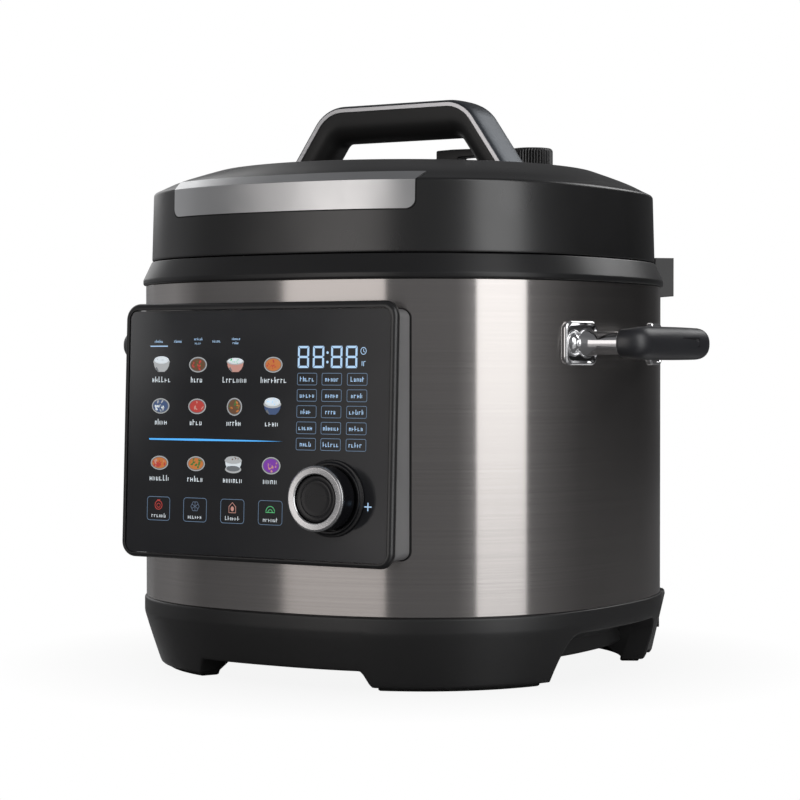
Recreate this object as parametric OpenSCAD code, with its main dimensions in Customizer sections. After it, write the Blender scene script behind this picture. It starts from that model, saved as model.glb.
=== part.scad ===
// Electric pressure cooker with a lift-off lid, a turning lid disc and a touch panel.
// Millimetres. The origin is on the resting plane under the centre of the body.
// +Z is up, and the control panel faces -Y.

/* [Body] */
// Width of the body across its flat sides
body_w = 300; // [296:1:304]
// How square the body is in plan: 2 is a circle
corner_power = 2.45; // [2.35:0.05:2.55]
// Height where the base meets the steel shell
shell_bottom_z = 42.6; // [42:0.1:43]
// Height where the steel shell meets the upper ring
shell_top_z = 230.6; // [230:0.1:231]
// Height of the upper ring's top edge
ring_top_z = 244.8; // [244.5:0.1:245]
// Thickness of the steel shell
shell_wall = 0.8; // [0.5:0.1:1]

/* [Lid] */
// Height where the lid's side turns over into its dome
skirt_top_z = 286; // [285.5:0.1:286.5]
// Radius of the round disc that turns with the lid handle
disc_r = 114.4; // [113.5:0.1:114.6]
// Height of the middle of the lid disc
disc_top_z = 305.9; // [305.5:0.1:306.5]
// Height of the lid handle's crown
handle_top_z = 343.5; // [342:0.5:345]
// Width of the lid handle from front to back
handle_w = 30; // [28:1:32]

/* [Panel] */
// Width of the panel's bezel
bezel_w = 184; // [180:1:186]
// Height of the panel's bezel
bezel_h = 146; // [144:1:148]
// How far in front of the axis the glass is, at the panel's middle
panel_reach = 164; // [164:0.5:166]
// Backward lean of the panel in degrees
panel_lean = 2.2; // [1.8:0.1:2.6]
// Radius of the control knob
knob_r = 18; // [17:0.5:19]
// How far the control knob stands out of the glass
knob_reach = 18; // [17:0.5:19]

/* [Pots] */
// Outer radius of the inner pot
pot_r = 120; // [118:0.5:121]
// Height of the inner pot's underside
pot_bottom_z = 62; // [61.8:0.1:63]
// Wall of the inner pot
pot_wall = 1.6; // [1.2:0.1:2]

/* [Handles] */
// Distance from the axis to the outer face of a side grip
grip_reach = 186.5; // [185:0.5:188]
// Distance between the two tubes of a side handle
tube_pitch = 87; // [85:1:89]
// Height of the side handles' middle
handle_z = 195; // [190:1:200]

/* [Hidden] */

$fn = 96;
plan_points = 72;               // points round each rounded-square outline
eps = 0.01;
fit = 0.05;                     // radial clearance of a running fit
gap = 0.4;                      // clearance between pieces that only pass each other

body_r = body_w / 2;
base_r = body_r + 1;            // the base stands a little proud of the shell
floor_z = 11.5;                 // underside of the base tray between its feet
tray_floor = 3.5;
foot_z = 2;                     // the plastic feet end here, on rubber pads
foot_span = [25, 65];           // degrees covered by each foot in its quarter
pad_span = [27, 63];
side_arch = [94, 24.5];         // width and height of the openings in the base's two sides
lid_foot_z = ring_top_z + 0.5;  // underside of the lid's skirt
lid_r = body_r - 3.5;
lid_wall = 2.4;

outer_pot_r = 127.5;
outer_pot_wall = 1.5;
outer_pot_z = 48.5;
flange_z = 226;                 // top of the outer pot's rim
flange_r = 142.3;
lug_count = 6;
lug_span = 25;                  // degrees covered by a lug
lug_z = 235;                    // top of the lid's lugs
pot_rim_z = flange_z + 0.4;
plate_top_z = pot_bottom_z - gap;
plate_r = 95;
probe_r = 12;

lid_pan_z = 251.6;              // top of the steel pressure lid
knob_xy = [55, 62];             // steam knob on the lid disc
float_xy = [-55, 62];           // float valve on the lid disc
lever_y = 62;
lever_x = [-11, 39];
lever_z = [315, 320];
lever_pin_xz = [24, 312.6];

corner_reach = body_r * pow(2, 1/2 - 1/corner_power);   // axis to shell on the diagonals
inlet_back = corner_reach + 1.3;                        // back of the inlet housing
inlet_top = shell_bottom_z - 0.4;
cup_y = [153, 180];             // front and back of the condensate cup

panel_z = 144.5;                // height of the panel's middle
glass_w = 174.6;
glass_span = [-68.9, 67.4];     // lower and upper edges from the panel's middle
knob_xz = [52.7, -35];          // control knob from the panel's middle

// ---- outlines -------------------------------------------------------------------------

// Distance from the axis to a rounded-square outline at an angle; round = 1 makes a circle
function reach(r, a, round = 0) =
    let (square = pow(pow(abs(cos(a)), corner_power) + pow(abs(sin(a)), corner_power),
                      -1 / corner_power))
    r * (square + (1 - square) * round);

function plan(r, round = 0) =
    [for (i = [0 : plan_points - 1]) let (a = i * 360 / plan_points)
        reach(r, a, round) * [cos(a), sin(a)]];

// Part of a rounded-square band between two angles
function plan_sector(r_in, r_out, a_from, a_to, steps = 10) = concat(
    [for (i = [0 : steps]) let (a = a_from + (a_to - a_from) * i / steps)
        reach(r_out, a) * [cos(a), sin(a)]],
    [for (i = [steps : -1 : 0]) let (a = a_from + (a_to - a_from) * i / steps)
        reach(r_in, a) * [cos(a), sin(a)]]);

// Rectangle with round corners, centred
function rounded(w, h, r, steps = 6) =
    [for (q = [0 : 3]) for (i = [0 : steps])
        let (a = q * 90 + i * 90 / steps,
             sx = (q == 0 || q == 3) ? 1 : -1,
             sy = (q < 2) ? 1 : -1)
        [sx * (w / 2 - r) + r * cos(a), sy * (h / 2 - r) + r * sin(a)]];

// Arch with sloping legs and round shoulders: the lid handle's outline or its opening
function arch(x_foot, z_foot, z_top, r, lean, steps = 8) =
    let (cz = z_top - r,
         cx = x_foot - (r + (cz - z_foot) * sin(lean)) / cos(lean),
         z_low = 296,
         right = concat(
             [[x_foot + (z_foot - z_low) * tan(lean), z_low]],
             [for (i = [0 : steps]) let (a = lean + (90 - lean) * i / steps)
                 [cx + r * cos(a), cz + r * sin(a)]]))
    concat(right, [for (i = [len(right) - 1 : -1 : 0]) [-right[i][0], right[i][1]]]);

// ---- solids shared by several parts -----------------------------------------------------

function ring_points(r, z, round = 0) = [for (p = plan(r, round)) [p[0], p[1], z]];

// Solid through a stack of [radius, height, roundness] rings, closed by flat ends
module stack(levels) {
    n = plan_points;
    m = len(levels);
    polyhedron(
        points = [for (l = levels) each ring_points(l[0], l[1], l[2])],
        faces = concat(
            [[for (i = [0 : n - 1]) i]],
            [[for (i = [n - 1 : -1 : 0]) (m - 1) * n + i]],
            [for (k = [0 : m - 2]) for (i = [0 : n - 1])
                [k * n + i, (k + 1) * n + i, (k + 1) * n + (i + 1) % n, k * n + (i + 1) % n]]));
}

// Ring-shaped shell: the levels go up the outside and come down the inside
module ring_shell(levels) {
    n = plan_points;
    m = len(levels);
    polyhedron(
        points = [for (l = levels) each ring_points(l[0], l[1], l[2])],
        faces = [for (k = [0 : m - 1]) for (i = [0 : n - 1])
            let (next = (k + 1) % m)
            [k * n + i, next * n + i, next * n + (i + 1) % n, k * n + (i + 1) % n]]);
}

module prism(r, z1, z2, round = 0) {
    translate([0, 0, z1]) linear_extrude(z2 - z1) polygon(plan(r, round));
}

module disc(r, z1, z2) {
    translate([0, 0, z1]) cylinder(r = r, h = z2 - z1);
}

module tube(r_out, r_in, z1, z2) {
    difference() {
        disc(r_out, z1, z2);
        disc(r_in, z1 - 1, z2 + 1);
    }
}

module block(x, y, z) {
    translate([x[0], y[0], z[0]]) cube([x[1] - x[0], y[1] - y[0], z[1] - z[0]]);
}

module both_sides() {
    children();
    mirror([1, 0, 0]) children();
}

module four_corners() {
    for (a = [0, 90, 180, 270]) rotate([0, 0, a]) children();
}

// Coil of round wire
module coil(r, wire, height, turns) {
    steps = 14;
    sides = 8;
    n = steps * turns;
    rise = (height - 2 * wire) / n;
    points = [for (i = [0 : n]) for (j = [0 : sides - 1])
        let (a = i * 360 / steps, b = -j * 360 / sides, rr = r + wire * cos(b))
        [rr * cos(a), rr * sin(a), wire + i * rise + wire * sin(b)]];
    polyhedron(points = points, faces = concat(
        [[for (j = [sides - 1 : -1 : 0]) j]],
        [[for (j = [0 : sides - 1]) n * sides + j]],
        [for (i = [0 : n - 1]) for (j = [0 : sides - 1])
            let (k = (j + 1) % sides)
            [i * sides + j, i * sides + k, (i + 1) * sides + k, (i + 1) * sides + j]]));
}

// The panel's own axes: x to the right, z up the panel, -y out of the glass
module on_panel() {
    translate([0, -panel_reach, panel_z]) rotate([-panel_lean, 0, 0]) children();
}

// Plate parallel to the panel, from an outline in the panel's x and z
module panel_slab(outline, y1, y2) {
    translate([0, y2, 0]) rotate([90, 0, 0]) linear_extrude(y2 - y1) polygon(outline);
}

module at_knob() {
    translate([knob_xz[0], 0, knob_xz[1]]) rotate([90, 0, 0]) children();
}

function glass_outline(grow, r) =
    let (h = glass_span[1] - glass_span[0] + 2 * grow, mid = (glass_span[0] + glass_span[1]) / 2)
    [for (p = rounded(glass_w + 2 * grow, h, r)) [p[0], p[1] + mid]];

// ---- base ---------------------------------------------------------------------------------

module base_outside(grow = 0) {
    stack([
        [body_r - 9.1 + grow, foot_z, 0],
        [body_r - 8.1 + grow, foot_z + 1, 0],
        [base_r - 0.5 + grow, 32.6, 0],
        [base_r + grow, 33.7, 0],
        [base_r + grow, shell_bottom_z, 0]]);
}

module inlet_neck(to, grow = 0) {
    rotate([0, 0, 45]) block([126, to], [-15 - grow, 15 + grow], [15.5 - grow, 39 + grow]);
}

module base_tray() color([0.09, 0.09, 0.10]) difference() {
    base_outside();
    // the hollow that holds the electrical parts
    difference() {
        prism(body_r - 14, floor_z + tray_floor, shell_bottom_z + 1);
        both_sides() block([124, 160], [-50, 50], [10, 27]);
    }
    disc(100, floor_z - 1, floor_z + tray_floor + 1);
    // below the floor, only the four feet are left
    difference() {
        block([-170, 170], [-170, 170], [foot_z - 1, floor_z]);
        four_corners() translate([0, 0, foot_z - 2]) linear_extrude(floor_z + 4)
            polygon(plan_sector(112, 170, foot_span[0], foot_span[1]));
    }
    both_sides() block([128, 170], [-side_arch[0] / 2, side_arch[0] / 2], [foot_z - 1, side_arch[1]]);
    inlet_neck(175, 0.1);
    for (a = [0 : 90 : 270]) rotate([0, 0, a + 15]) translate([104, 0, floor_z - 1])
        cylinder(r = 1.7, h = tray_floor + 2);
}

module bottom_plate() color([0.75, 0.76, 0.77]) difference() {
    disc(108, floor_z - 1.6, floor_z - 0.1);
    for (a = [0 : 90 : 270]) rotate([0, 0, a + 15]) translate([104, 0, floor_z - 3])
        cylinder(r = 1.7, h = 4);
    for (i = [-3 : 3]) translate([i * 14, 0, floor_z - 3]) linear_extrude(4)
        polygon(rounded(4, 46, 1.9));
}

module base_screws() color([0.55, 0.56, 0.58])
    for (a = [0 : 90 : 270]) rotate([0, 0, a + 15]) translate([104, 0, 0]) {
        disc(1.5, floor_z - 1.7, floor_z + tray_floor + 2);
        disc(3.4, floor_z - 3.6, floor_z - 1.6);
    }

module rubber_feet() color([0.05, 0.05, 0.05]) four_corners()
    linear_extrude(foot_z) polygon(plan_sector(118, 138, pad_span[0], pad_span[1]));

// ---- body ---------------------------------------------------------------------------------

module steel_shell() color([0.30, 0.28, 0.27]) difference() {
    prism(body_r, shell_bottom_z, shell_top_z);
    prism(body_r - shell_wall, shell_bottom_z - 1, shell_top_z + 1);
}

module ring_outside(grow = 0) {
    stack([
        [body_r + 0.6 + grow, shell_top_z, 0],
        [body_r + 2.2 + grow, shell_top_z + 0.8, 0],
        [body_r + 2.2 + grow, shell_top_z + 3.4, 0],
        [body_r - 3.7 + grow, ring_top_z, 0]]);
}

module upper_ring() color([0.08, 0.08, 0.09]) difference() {
    union() {
        ring_outside();
        prism(body_r - shell_wall - 0.2, shell_top_z - 8, shell_top_z + 1);
    }
    disc(flange_r + 0.3, shell_top_z - 10, ring_top_z + 1);
}

module outer_pot() color([0.72, 0.72, 0.73]) difference() {
    union() {
        disc(outer_pot_r, outer_pot_z, flange_z);
        disc(flange_r - 0.3, flange_z - 1.6, flange_z);
    }
    disc(outer_pot_r - outer_pot_wall, outer_pot_z + outer_pot_wall, flange_z + 1);
    disc(16, outer_pot_z - 1, outer_pot_z + 3);
}

module locking_flange() color([0.65, 0.66, 0.67]) {
    tube(flange_r, 134.2, flange_z, 240);
    for (i = [0 : lug_count - 1]) rotate([0, 0, i * 360 / lug_count + 17.5])
        rotate_extrude(angle = lug_span)
            translate([130.2, lug_z + 0.6]) square([4.5, 240 - lug_z - 0.6]);
}

module insulation_sleeve() color([0.85, 0.83, 0.76]) tube(137, 131, 60, 215);

// ---- heating ------------------------------------------------------------------------------

module heating_plate() color([0.70, 0.70, 0.71]) difference() {
    disc(plate_r, plate_top_z - 6, plate_top_z);
    disc(probe_r + 2, plate_top_z - 8, plate_top_z + 1);
}

module heater_element() color([0.45, 0.42, 0.40])
    for (r = [52, 70]) tube(r + 3.2, r - 3.2, outer_pot_z + 2, plate_top_z - 6);

module plate_standoffs() color([0.6, 0.6, 0.6])
    for (a = [30, 150, 270]) rotate([0, 0, a]) translate([86, 0, 0])
        tube(5, 2, outer_pot_z + outer_pot_wall, plate_top_z - 6);

module probe_bracket() color([0.7, 0.7, 0.7]) difference() {
    disc(20, 42.5, outer_pot_z);
    disc(18, 44, outer_pot_z + 1);
    disc(4 + fit, 40, 46);
}

module temperature_probe() color([0.8, 0.8, 0.8]) {
    disc(probe_r, plate_top_z - 5, plate_top_z);
    disc(4, 36, plate_top_z - 4.5);
}

module probe_spring() color([0.6, 0.6, 0.62])
    translate([0, 0, 44]) coil(7, 0.8, plate_top_z - 5 - 44, 5);

module pressure_switch() color([0.85, 0.85, 0.82]) translate([-70, 0, 0]) {
    disc(13, 38, outer_pot_z);
    block([-5, 5], [-8, 8], [30, 38]);
}

module power_board() {
    color([0.10, 0.32, 0.16]) block([-100, -15], [-78, -22], [22, 23.6]);
    color([0.9, 0.9, 0.88]) block([-90, -70], [-70, -50], [23.5, 36]);
    color([0.15, 0.15, 0.17]) for (x = [-60, -46, -32]) translate([x, -60, 23.5])
        cylinder(r = 5, h = 13);
    color([0.1, 0.1, 0.6]) block([-64, -34], [-42, -30], [23.5, 34]);
}

module inlet_housing() color([0.10, 0.10, 0.11]) difference() {
    union() {
        rotate([90, 0, 45]) linear_extrude(44, center = true) polygon([
            [inlet_back - 9.6, foot_z], [inlet_back, 33], [inlet_back, inlet_top],
            [inlet_back + 7.6, inlet_top], [inlet_back + 7.6, 33], [inlet_back - 3.2, foot_z]]);
        inlet_neck(inlet_back + 4);
    }
    rotate([0, 0, 45]) block([120, 180], [-13, 13], [17, 37]);
}

module inlet_socket() color([0.03, 0.03, 0.03]) difference() {
    rotate([0, 0, 45]) block([132, 162], [-12.9, 12.9], [17.1, 36.9]);
    rotate([0, 0, 45]) block([140, 170], [-11.4, 11.4], [18.6, 35.4]);
}

module inlet_pins() color([0.8, 0.7, 0.4]) rotate([0, 0, 45])
    for (p = [[-6, 29], [6, 29], [0, 24]])
        block([140, 148], [p[0] - 1, p[0] + 1], [p[1] - 2, p[1] + 2]);

// ---- fittings on the back -----------------------------------------------------------------

module lid_rests() color([0.08, 0.08, 0.08]) for (a = [45, 135]) difference() {
    rotate([0, 0, a]) block([corner_reach - 1.6, corner_reach + 10.6], [-15, 15], [225.6, 249.7]);
    ring_outside(0.02);
    prism(body_r, shell_bottom_z, shell_top_z + 0.02);
}

module cup_rails() color([0.08, 0.08, 0.08]) difference() {
    both_sides() {
        block([25, 31], [146, 160], [196, 212]);
        block([22.4, 25.1], [146, 152.6], [196, 199.5]);
    }
    prism(body_r, shell_bottom_z, shell_top_z);
    both_sides() block([20, 27.6], [152.6, 162], [203, 208]);
}

module condensate_cup() color([0.35, 0.35, 0.38]) difference() {
    union() {
        block([-24.4, 24.4], cup_y, [160, 212]);
        both_sides() block([24, 27.2], [cup_y[0], 160], [203.6, 207.4]);
    }
    block([-22.6, 22.6], [cup_y[0] + 1.8, cup_y[1] - 1.8], [162, 214]);
}

// ---- control panel ------------------------------------------------------------------------

module panel_box(grow, y1, y2) {
    on_panel() panel_slab(glass_outline(grow, 5 + grow), y1, y2);
}

module panel_gasket() color([0.04, 0.04, 0.04]) difference() {
    intersection() {
        difference() {
            panel_box(0.6, 4, 50);
            panel_box(-3, 3, 60);
        }
        prism(body_r + 1.6, 60, 230);
    }
    prism(body_r + 0.02, 50, 240);
}

module panel_housing() color([0.36, 0.37, 0.39]) difference() {
    panel_box(0, 4, 50);
    panel_box(-2.6, 3, 60);
    prism(body_r + 1.62, 50, 240);
}

module panel_bezel() color([0.06, 0.06, 0.07]) on_panel() difference() {
    panel_slab([for (p = rounded(bezel_w, bezel_h, 9)) [p[0], p[1] + 0.5]], -0.8, 4);
    panel_slab(glass_outline(0.2, 5), -2, 2);
    panel_slab(glass_outline(-4, 3), -2, 6);
}

module panel_glass() color([0.12, 0.13, 0.14]) on_panel() difference() {
    panel_slab(glass_outline(0, 4.8), 0, 2);
    at_knob() cylinder(r = 5, h = 8, center = true);
}

module display_module() color([0.75, 0.78, 0.8]) on_panel()
    block([12, 80], [2.1, 8.3], [26, 62]);

module control_board() color([0.10, 0.32, 0.16]) on_panel()
    block([-80, 82], [8.4, 9.8], [-60, 63]);

module rotary_encoder() color([0.5, 0.5, 0.52]) on_panel() difference() {
    union() {
        block([knob_xz[0] - 7, knob_xz[0] + 7], [3, 8.4], [knob_xz[1] - 7, knob_xz[1] + 7]);
        at_knob() disc(4.6, -4, 1);
    }
    at_knob() disc(3 + fit, -7.5, 2);
}

module encoder_shaft() color([0.7, 0.7, 0.7]) on_panel() at_knob() difference() {
    disc(3, -7, knob_reach - 6);
    disc(1.5 + fit, 2, knob_reach);
}

module knob_base_ring() color([0.10, 0.10, 0.11]) on_panel() at_knob() difference() {
    union() {
        disc(knob_r + 3.3, 0, 1.8);
        disc(knob_r + 1.6, 1.7, 3.6);
    }
    disc(5, -1, 5);
}

module control_knob() color([0.05, 0.05, 0.06]) on_panel() at_knob() difference() {
    union() {
        tube(knob_r - 0.4, knob_r - 2.4, 4, knob_reach - 2);
        tube(knob_r - 1, 3, knob_reach - 8, knob_reach - 5.6);
    }
    disc(3, 2, knob_reach + 1);
}

module knob_ring() color([0.80, 0.80, 0.81]) on_panel() at_knob()
    tube(knob_r, knob_r - 4.7, knob_reach - 2, knob_reach);

module knob_button() color([0.04, 0.04, 0.05]) on_panel() at_knob() {
    disc(knob_r - 5.1, knob_reach - 3.4, knob_reach - 1.4);
    disc(1.5, knob_reach - 13, knob_reach - 3.3);
}

// ---- side handles -------------------------------------------------------------------------

grip_back = 169.2;              // inner face of a grip, towards the body
grip_half = tube_pitch / 2 + 8.35;

module grip_plan() {
    steps = 28;
    polygon([for (i = [0 : steps]) let (a = -90 + 180 * i / steps)
        [grip_back + (grip_reach - grip_back) * pow(abs(cos(a)), 0.72),
         grip_half * sign(sin(a)) * pow(abs(sin(a)), 0.72)]]);
}

// Seen from outside: round ends over the tubes, and thicker in the middle
module grip_side() {
    end_r = grip_half - tube_pitch / 2;
    polygon(concat(
        [for (i = [-6 : 6]) [-i * tube_pitch / 12, end_r + 1.3 * cos(i * 15)]],
        [for (i = [1 : 11]) [-tube_pitch / 2 - end_r * sin(i * 15), end_r * cos(i * 15)]],
        [for (i = [-6 : 6]) [i * tube_pitch / 12, -end_r - 1.3 * cos(i * 15)]],
        [for (i = [1 : 11]) [tube_pitch / 2 + end_r * sin(i * 15), -end_r * cos(i * 15)]]));
}

module grip() intersection() {
    translate([0, 0, handle_z - 12]) linear_extrude(24) grip_plan();
    translate([150, 0, handle_z]) rotate([90, 0, 90]) linear_extrude(60) grip_side();
}

module right_grip() color([0.05, 0.05, 0.05]) grip();

module left_grip() color([0.05, 0.05, 0.05]) mirror([1, 0, 0]) grip();

module each_tube() {
    both_sides() for (s = [-1, 1]) translate([0, s * tube_pitch / 2, handle_z]) children();
}

module bracket_plates() color([0.80, 0.80, 0.80]) difference() {
    both_sides() for (s = [-1, 1]) translate([145.7, s * (tube_pitch / 2 + 7.3), handle_z])
        rotate([0, 0, s * 12.3]) rotate([90, 0, 90]) translate([0, 0, -5]) linear_extrude(7.4)
            polygon(rounded(30.5, 25.5, 5));
    prism(body_r + 0.02, shell_bottom_z, shell_top_z);
    each_tube() rotate([0, 90, 0]) disc(6.6, 130, 180);
}

module handle_tubes() color([0.85, 0.85, 0.86]) difference() {
    each_tube() rotate([0, 90, 0]) disc(6.5, 143, grip_back - 0.02);
    prism(body_r + 0.02, shell_bottom_z, shell_top_z);
}

// ---- inner pot ----------------------------------------------------------------------------

module inner_pot() color([0.80, 0.80, 0.81]) rotate_extrude() {
    corner = 14;
    z0 = pot_bottom_z;
    top = pot_rim_z;
    polygon(concat(
        [[0, z0]],
        [for (i = [0 : 6]) let (a = -90 + i * 15)
            [pot_r - corner + corner * cos(a), z0 + corner + corner * sin(a)]],
        [[pot_r, top - 1.8], [125.3, top - 1.8], [125.3, top], [pot_r - pot_wall, top]],
        [for (i = [6 : -1 : 0]) let (a = -90 + i * 15, r = corner - pot_wall)
            [pot_r - corner + r * cos(a), z0 + 3 + r + r * sin(a)]],
        [[0, z0 + 3]]));
}

// ---- lid ----------------------------------------------------------------------------------

cover_hole_r = disc_r + 0.6;

module lid_cover() color([0.07, 0.07, 0.08]) ring_shell([
    [lid_r, lid_foot_z, 0], [lid_r - 1.2, skirt_top_z - 1.2, 0], [lid_r - 2.2, skirt_top_z + 0.6, 0],
    [lid_r - 5.5, skirt_top_z + 2, 0], [lid_r - 16.5, skirt_top_z + 7.8, 0.4],
    [cover_hole_r, skirt_top_z + 13.9, 1],
    [cover_hole_r, skirt_top_z + 11.4, 1], [lid_r - 17, skirt_top_z + 5.2, 0.4],
    [lid_r - 6.2, skirt_top_z - 0.6, 0], [lid_r - lid_wall - 1, skirt_top_z - 3, 0],
    [lid_r - lid_wall, lid_foot_z, 0]]);

module lid_underplate() color([0.10, 0.10, 0.10]) difference() {
    prism(lid_r - lid_wall - 0.3, lid_foot_z + 0.4, lid_foot_z + 3);
    disc(136, lid_foot_z - 1, lid_foot_z + 5);
}

module lid_trim_plate() color([0.55, 0.55, 0.56]) intersection() {
    difference() {
        prism(lid_r + 0.4, skirt_top_z - 16.6, skirt_top_z);
        prism(lid_r - 0.55, skirt_top_z - 20, skirt_top_z + 2);
    }
    block([-79, 84], [-170, -100], [200, 300]);
}

module lid_slip_ring() color([0.85, 0.85, 0.82]) {
    tube(cover_hole_r + 2, 108, skirt_top_z + 7, skirt_top_z + 9.4);
    tube(cover_hole_r + 2, cover_hole_r + 0.4, skirt_top_z + 9.3, skirt_top_z + 10.2);
}

function disc_surface() = [
    [0, disc_top_z], [30, disc_top_z - 1.4], [60, disc_top_z - 2.8], [85, disc_top_z - 4.1],
    [100, disc_top_z - 4.8], [disc_r, disc_top_z - 5.8]];

module under_disc()
    rotate_extrude() polygon(concat(disc_surface(), [[disc_r, 280], [0, 280]]));

function disc_thickness() = concat(
    disc_surface(),
    [[disc_r, skirt_top_z + 10], [disc_r - 2.4, skirt_top_z + 10], [disc_r - 2.4, disc_top_z - 8.3]],
    [for (i = [4 : -1 : 0]) disc_surface()[i] - [0, 2.6]]);

module lid_top_disc() color([0.07, 0.07, 0.08]) difference() {
    union() {
        // turned, so that the seam of the turned solid misses the screw holes and posts
        rotate([0, 0, 22]) rotate_extrude() polygon(disc_thickness());
        for (a = [0 : 90 : 270]) rotate([0, 0, a]) translate([80, 0, 0])
            disc(5, lid_pan_z, disc_top_z - 5.5);
    }
    translate(knob_xy) disc(5.4, 290, 320);
    translate(float_xy) disc(4.2, 290, 320);
    both_sides() translate([64, 0]) disc(2.1, 290, 320);
}

handle_lean = 34.5;
function handle_outline(inset) =
    arch(76.6 - inset / cos(handle_lean), 305, handle_top_z - inset, 25 - inset, handle_lean);

// Plate across the lid, from an outline in x and z
module across(outline, y1, y2) {
    translate([0, y2, 0]) rotate([90, 0, 0]) linear_extrude(y2 - y1) polygon(outline);
}

module handle_opening() across(arch(54.4, 305, 320.6, 8, handle_lean), -40, 40);

// Section of the handle, crowned across its width
module handle_crown() {
    w = handle_w / 2;
    top = handle_top_z;
    translate([-100, 0, 0]) rotate([90, 0, 90]) linear_extrude(200) polygon([
        [-w, 290], [w, 290], [w, top - 1.8], [w - 1, top - 1], [w - 5, top - 0.4], [0, top],
        [5 - w, top - 0.4], [1 - w, top - 1], [-w, top - 1.8]]);
}

module handle_band(from, to, y) {
    difference() {
        across(handle_outline(from), -y, y);
        across(handle_outline(to), -y - 1, y + 1);
    }
}

module lid_handle() color([0.20, 0.22, 0.25]) difference() {
    intersection() {
        union() {
            handle_band(0, 1.9, handle_w / 2);
            handle_band(1.8, 5, handle_w / 2 - 1.4);
        }
        handle_crown();
    }
    under_disc();
}

module handle_core() color([0.05, 0.05, 0.06]) difference() {
    across(handle_outline(5.05), 0.4 - handle_w / 2, handle_w / 2 - 0.4);
    handle_opening();
    under_disc();
    both_sides() translate([64, 0]) disc(1.85, 290, 307.5);
}

module handle_trims() color([0.80, 0.80, 0.82]) difference() {
    intersection() {
        handle_band(1.95, 4.9, handle_w / 2);
        handle_crown();
    }
    block([-100, 100], [1.35 - handle_w / 2, handle_w / 2 - 1.35], [280, 350]);
    under_disc();
}

module handle_screws() color([0.6, 0.6, 0.62]) both_sides() translate([64, 0]) {
    disc(1.8, 298, 307);
    disc(4.2, 297, disc_top_z - 6.2);
}

module pressure_lid() color([0.75, 0.75, 0.76]) difference() {
    union() {
        rotate_extrude() polygon([
            [0, lid_pan_z], [99, lid_pan_z], [112.5, lug_z], [129.3, lug_z], [129.3, lug_z - 1.6],
            [113.2, lug_z - 1.6], [113.2, 226.8], [112, 226.8], [112, lug_z - 2],
            [98, lid_pan_z - 1.6], [0, lid_pan_z - 1.6]]);
        for (i = [0 : lug_count - 1])
            rotate([0, 0, (i + 0.5) * 360 / lug_count + 17.5])
                rotate_extrude(angle = lug_span) translate([129.2, lug_z - 3.5]) square([4.3, 3.5]);
    }
    translate(knob_xy) disc(1.5, 240, 260);
    translate(float_xy) disc(3.9, 240, 260);
}

module sealing_ring() color([0.85, 0.85, 0.84]) difference() {
    tube(125, 113.9, 226.8, lug_z - 2.2);
    tube(117.4, 113, 228.6, 231.4);
}

module seal_rack() color([0.7, 0.7, 0.72]) rotate_extrude()
    translate([115.8, 230]) circle(r = 1.1);

module valve_stem() color([0.7, 0.7, 0.72]) translate(knob_xy) difference() {
    union() {
        disc(8, lid_pan_z, lid_pan_z + 3);
        disc(4, lid_pan_z, 312);
    }
    disc(1.2, lid_pan_z - 1, 320);
}

module steam_filter() color([0.75, 0.75, 0.76]) translate(knob_xy) difference() {
    disc(9, 240, lid_pan_z - 1.65);
    disc(7.8, 241.2, lid_pan_z);
    for (a = [0 : 60 : 300]) rotate([0, 0, a]) translate([5, 0, 238]) cylinder(r = 1, h = 5);
}

module steam_knob() color([0.08, 0.08, 0.09]) translate(knob_xy) difference() {
    ribs = 40;
    translate([0, 0, 304]) linear_extrude(14.2) polygon([for (i = [0 : 4 * ribs - 1])
        let (a = i * 90 / ribs, r = (i % 4 < 2) ? 13.6 : 13) [r * cos(a), r * sin(a)]]);
    disc(4 + fit, 300, 314);
    tube(11, 6, 300, 308);
}

module lever_bracket() color([0.08, 0.08, 0.08]) difference() {
    for (s = [-1, 1]) block([lever_pin_xz[0] - 3.4, lever_pin_xz[0] + 3.4],
                            [lever_y + s * 4.6 - 1.4, lever_y + s * 4.6 + 1.4], [298, 314.6]);
    under_disc();
    translate([lever_pin_xz[0], lever_y, lever_pin_xz[1]]) rotate([90, 0, 0])
        cylinder(r = 1.5, h = 30, center = true);
}

module lever_pin() color([0.7, 0.7, 0.7])
    translate([lever_pin_xz[0], lever_y, lever_pin_xz[1]]) rotate([90, 0, 0])
        cylinder(r = 1.5, h = 12.4, center = true);

module release_lever() color([0.08, 0.08, 0.09]) difference() {
    union() {
        block(lever_x, [lever_y - 5.6, lever_y + 5.6], lever_z);
        block([lever_x[0], lever_x[0] + 14], [lever_y - 5.6, lever_y + 5.6], [308.6, lever_z[1]]);
        block([lever_pin_xz[0] - 2.9, lever_pin_xz[0] + 2.9], [lever_y - 2.8, lever_y + 2.8],
              [309.8, lever_z[1]]);
    }
    translate([lever_pin_xz[0], lever_y, lever_pin_xz[1]]) rotate([90, 0, 0])
        cylinder(r = 1.5 + fit, h = 30, center = true);
}

module float_valve() color([0.75, 0.1, 0.1]) translate(float_xy) {
    disc(3.5, 243, disc_top_z - 2.6);
    disc(6, 241, 244.4);
}

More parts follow.
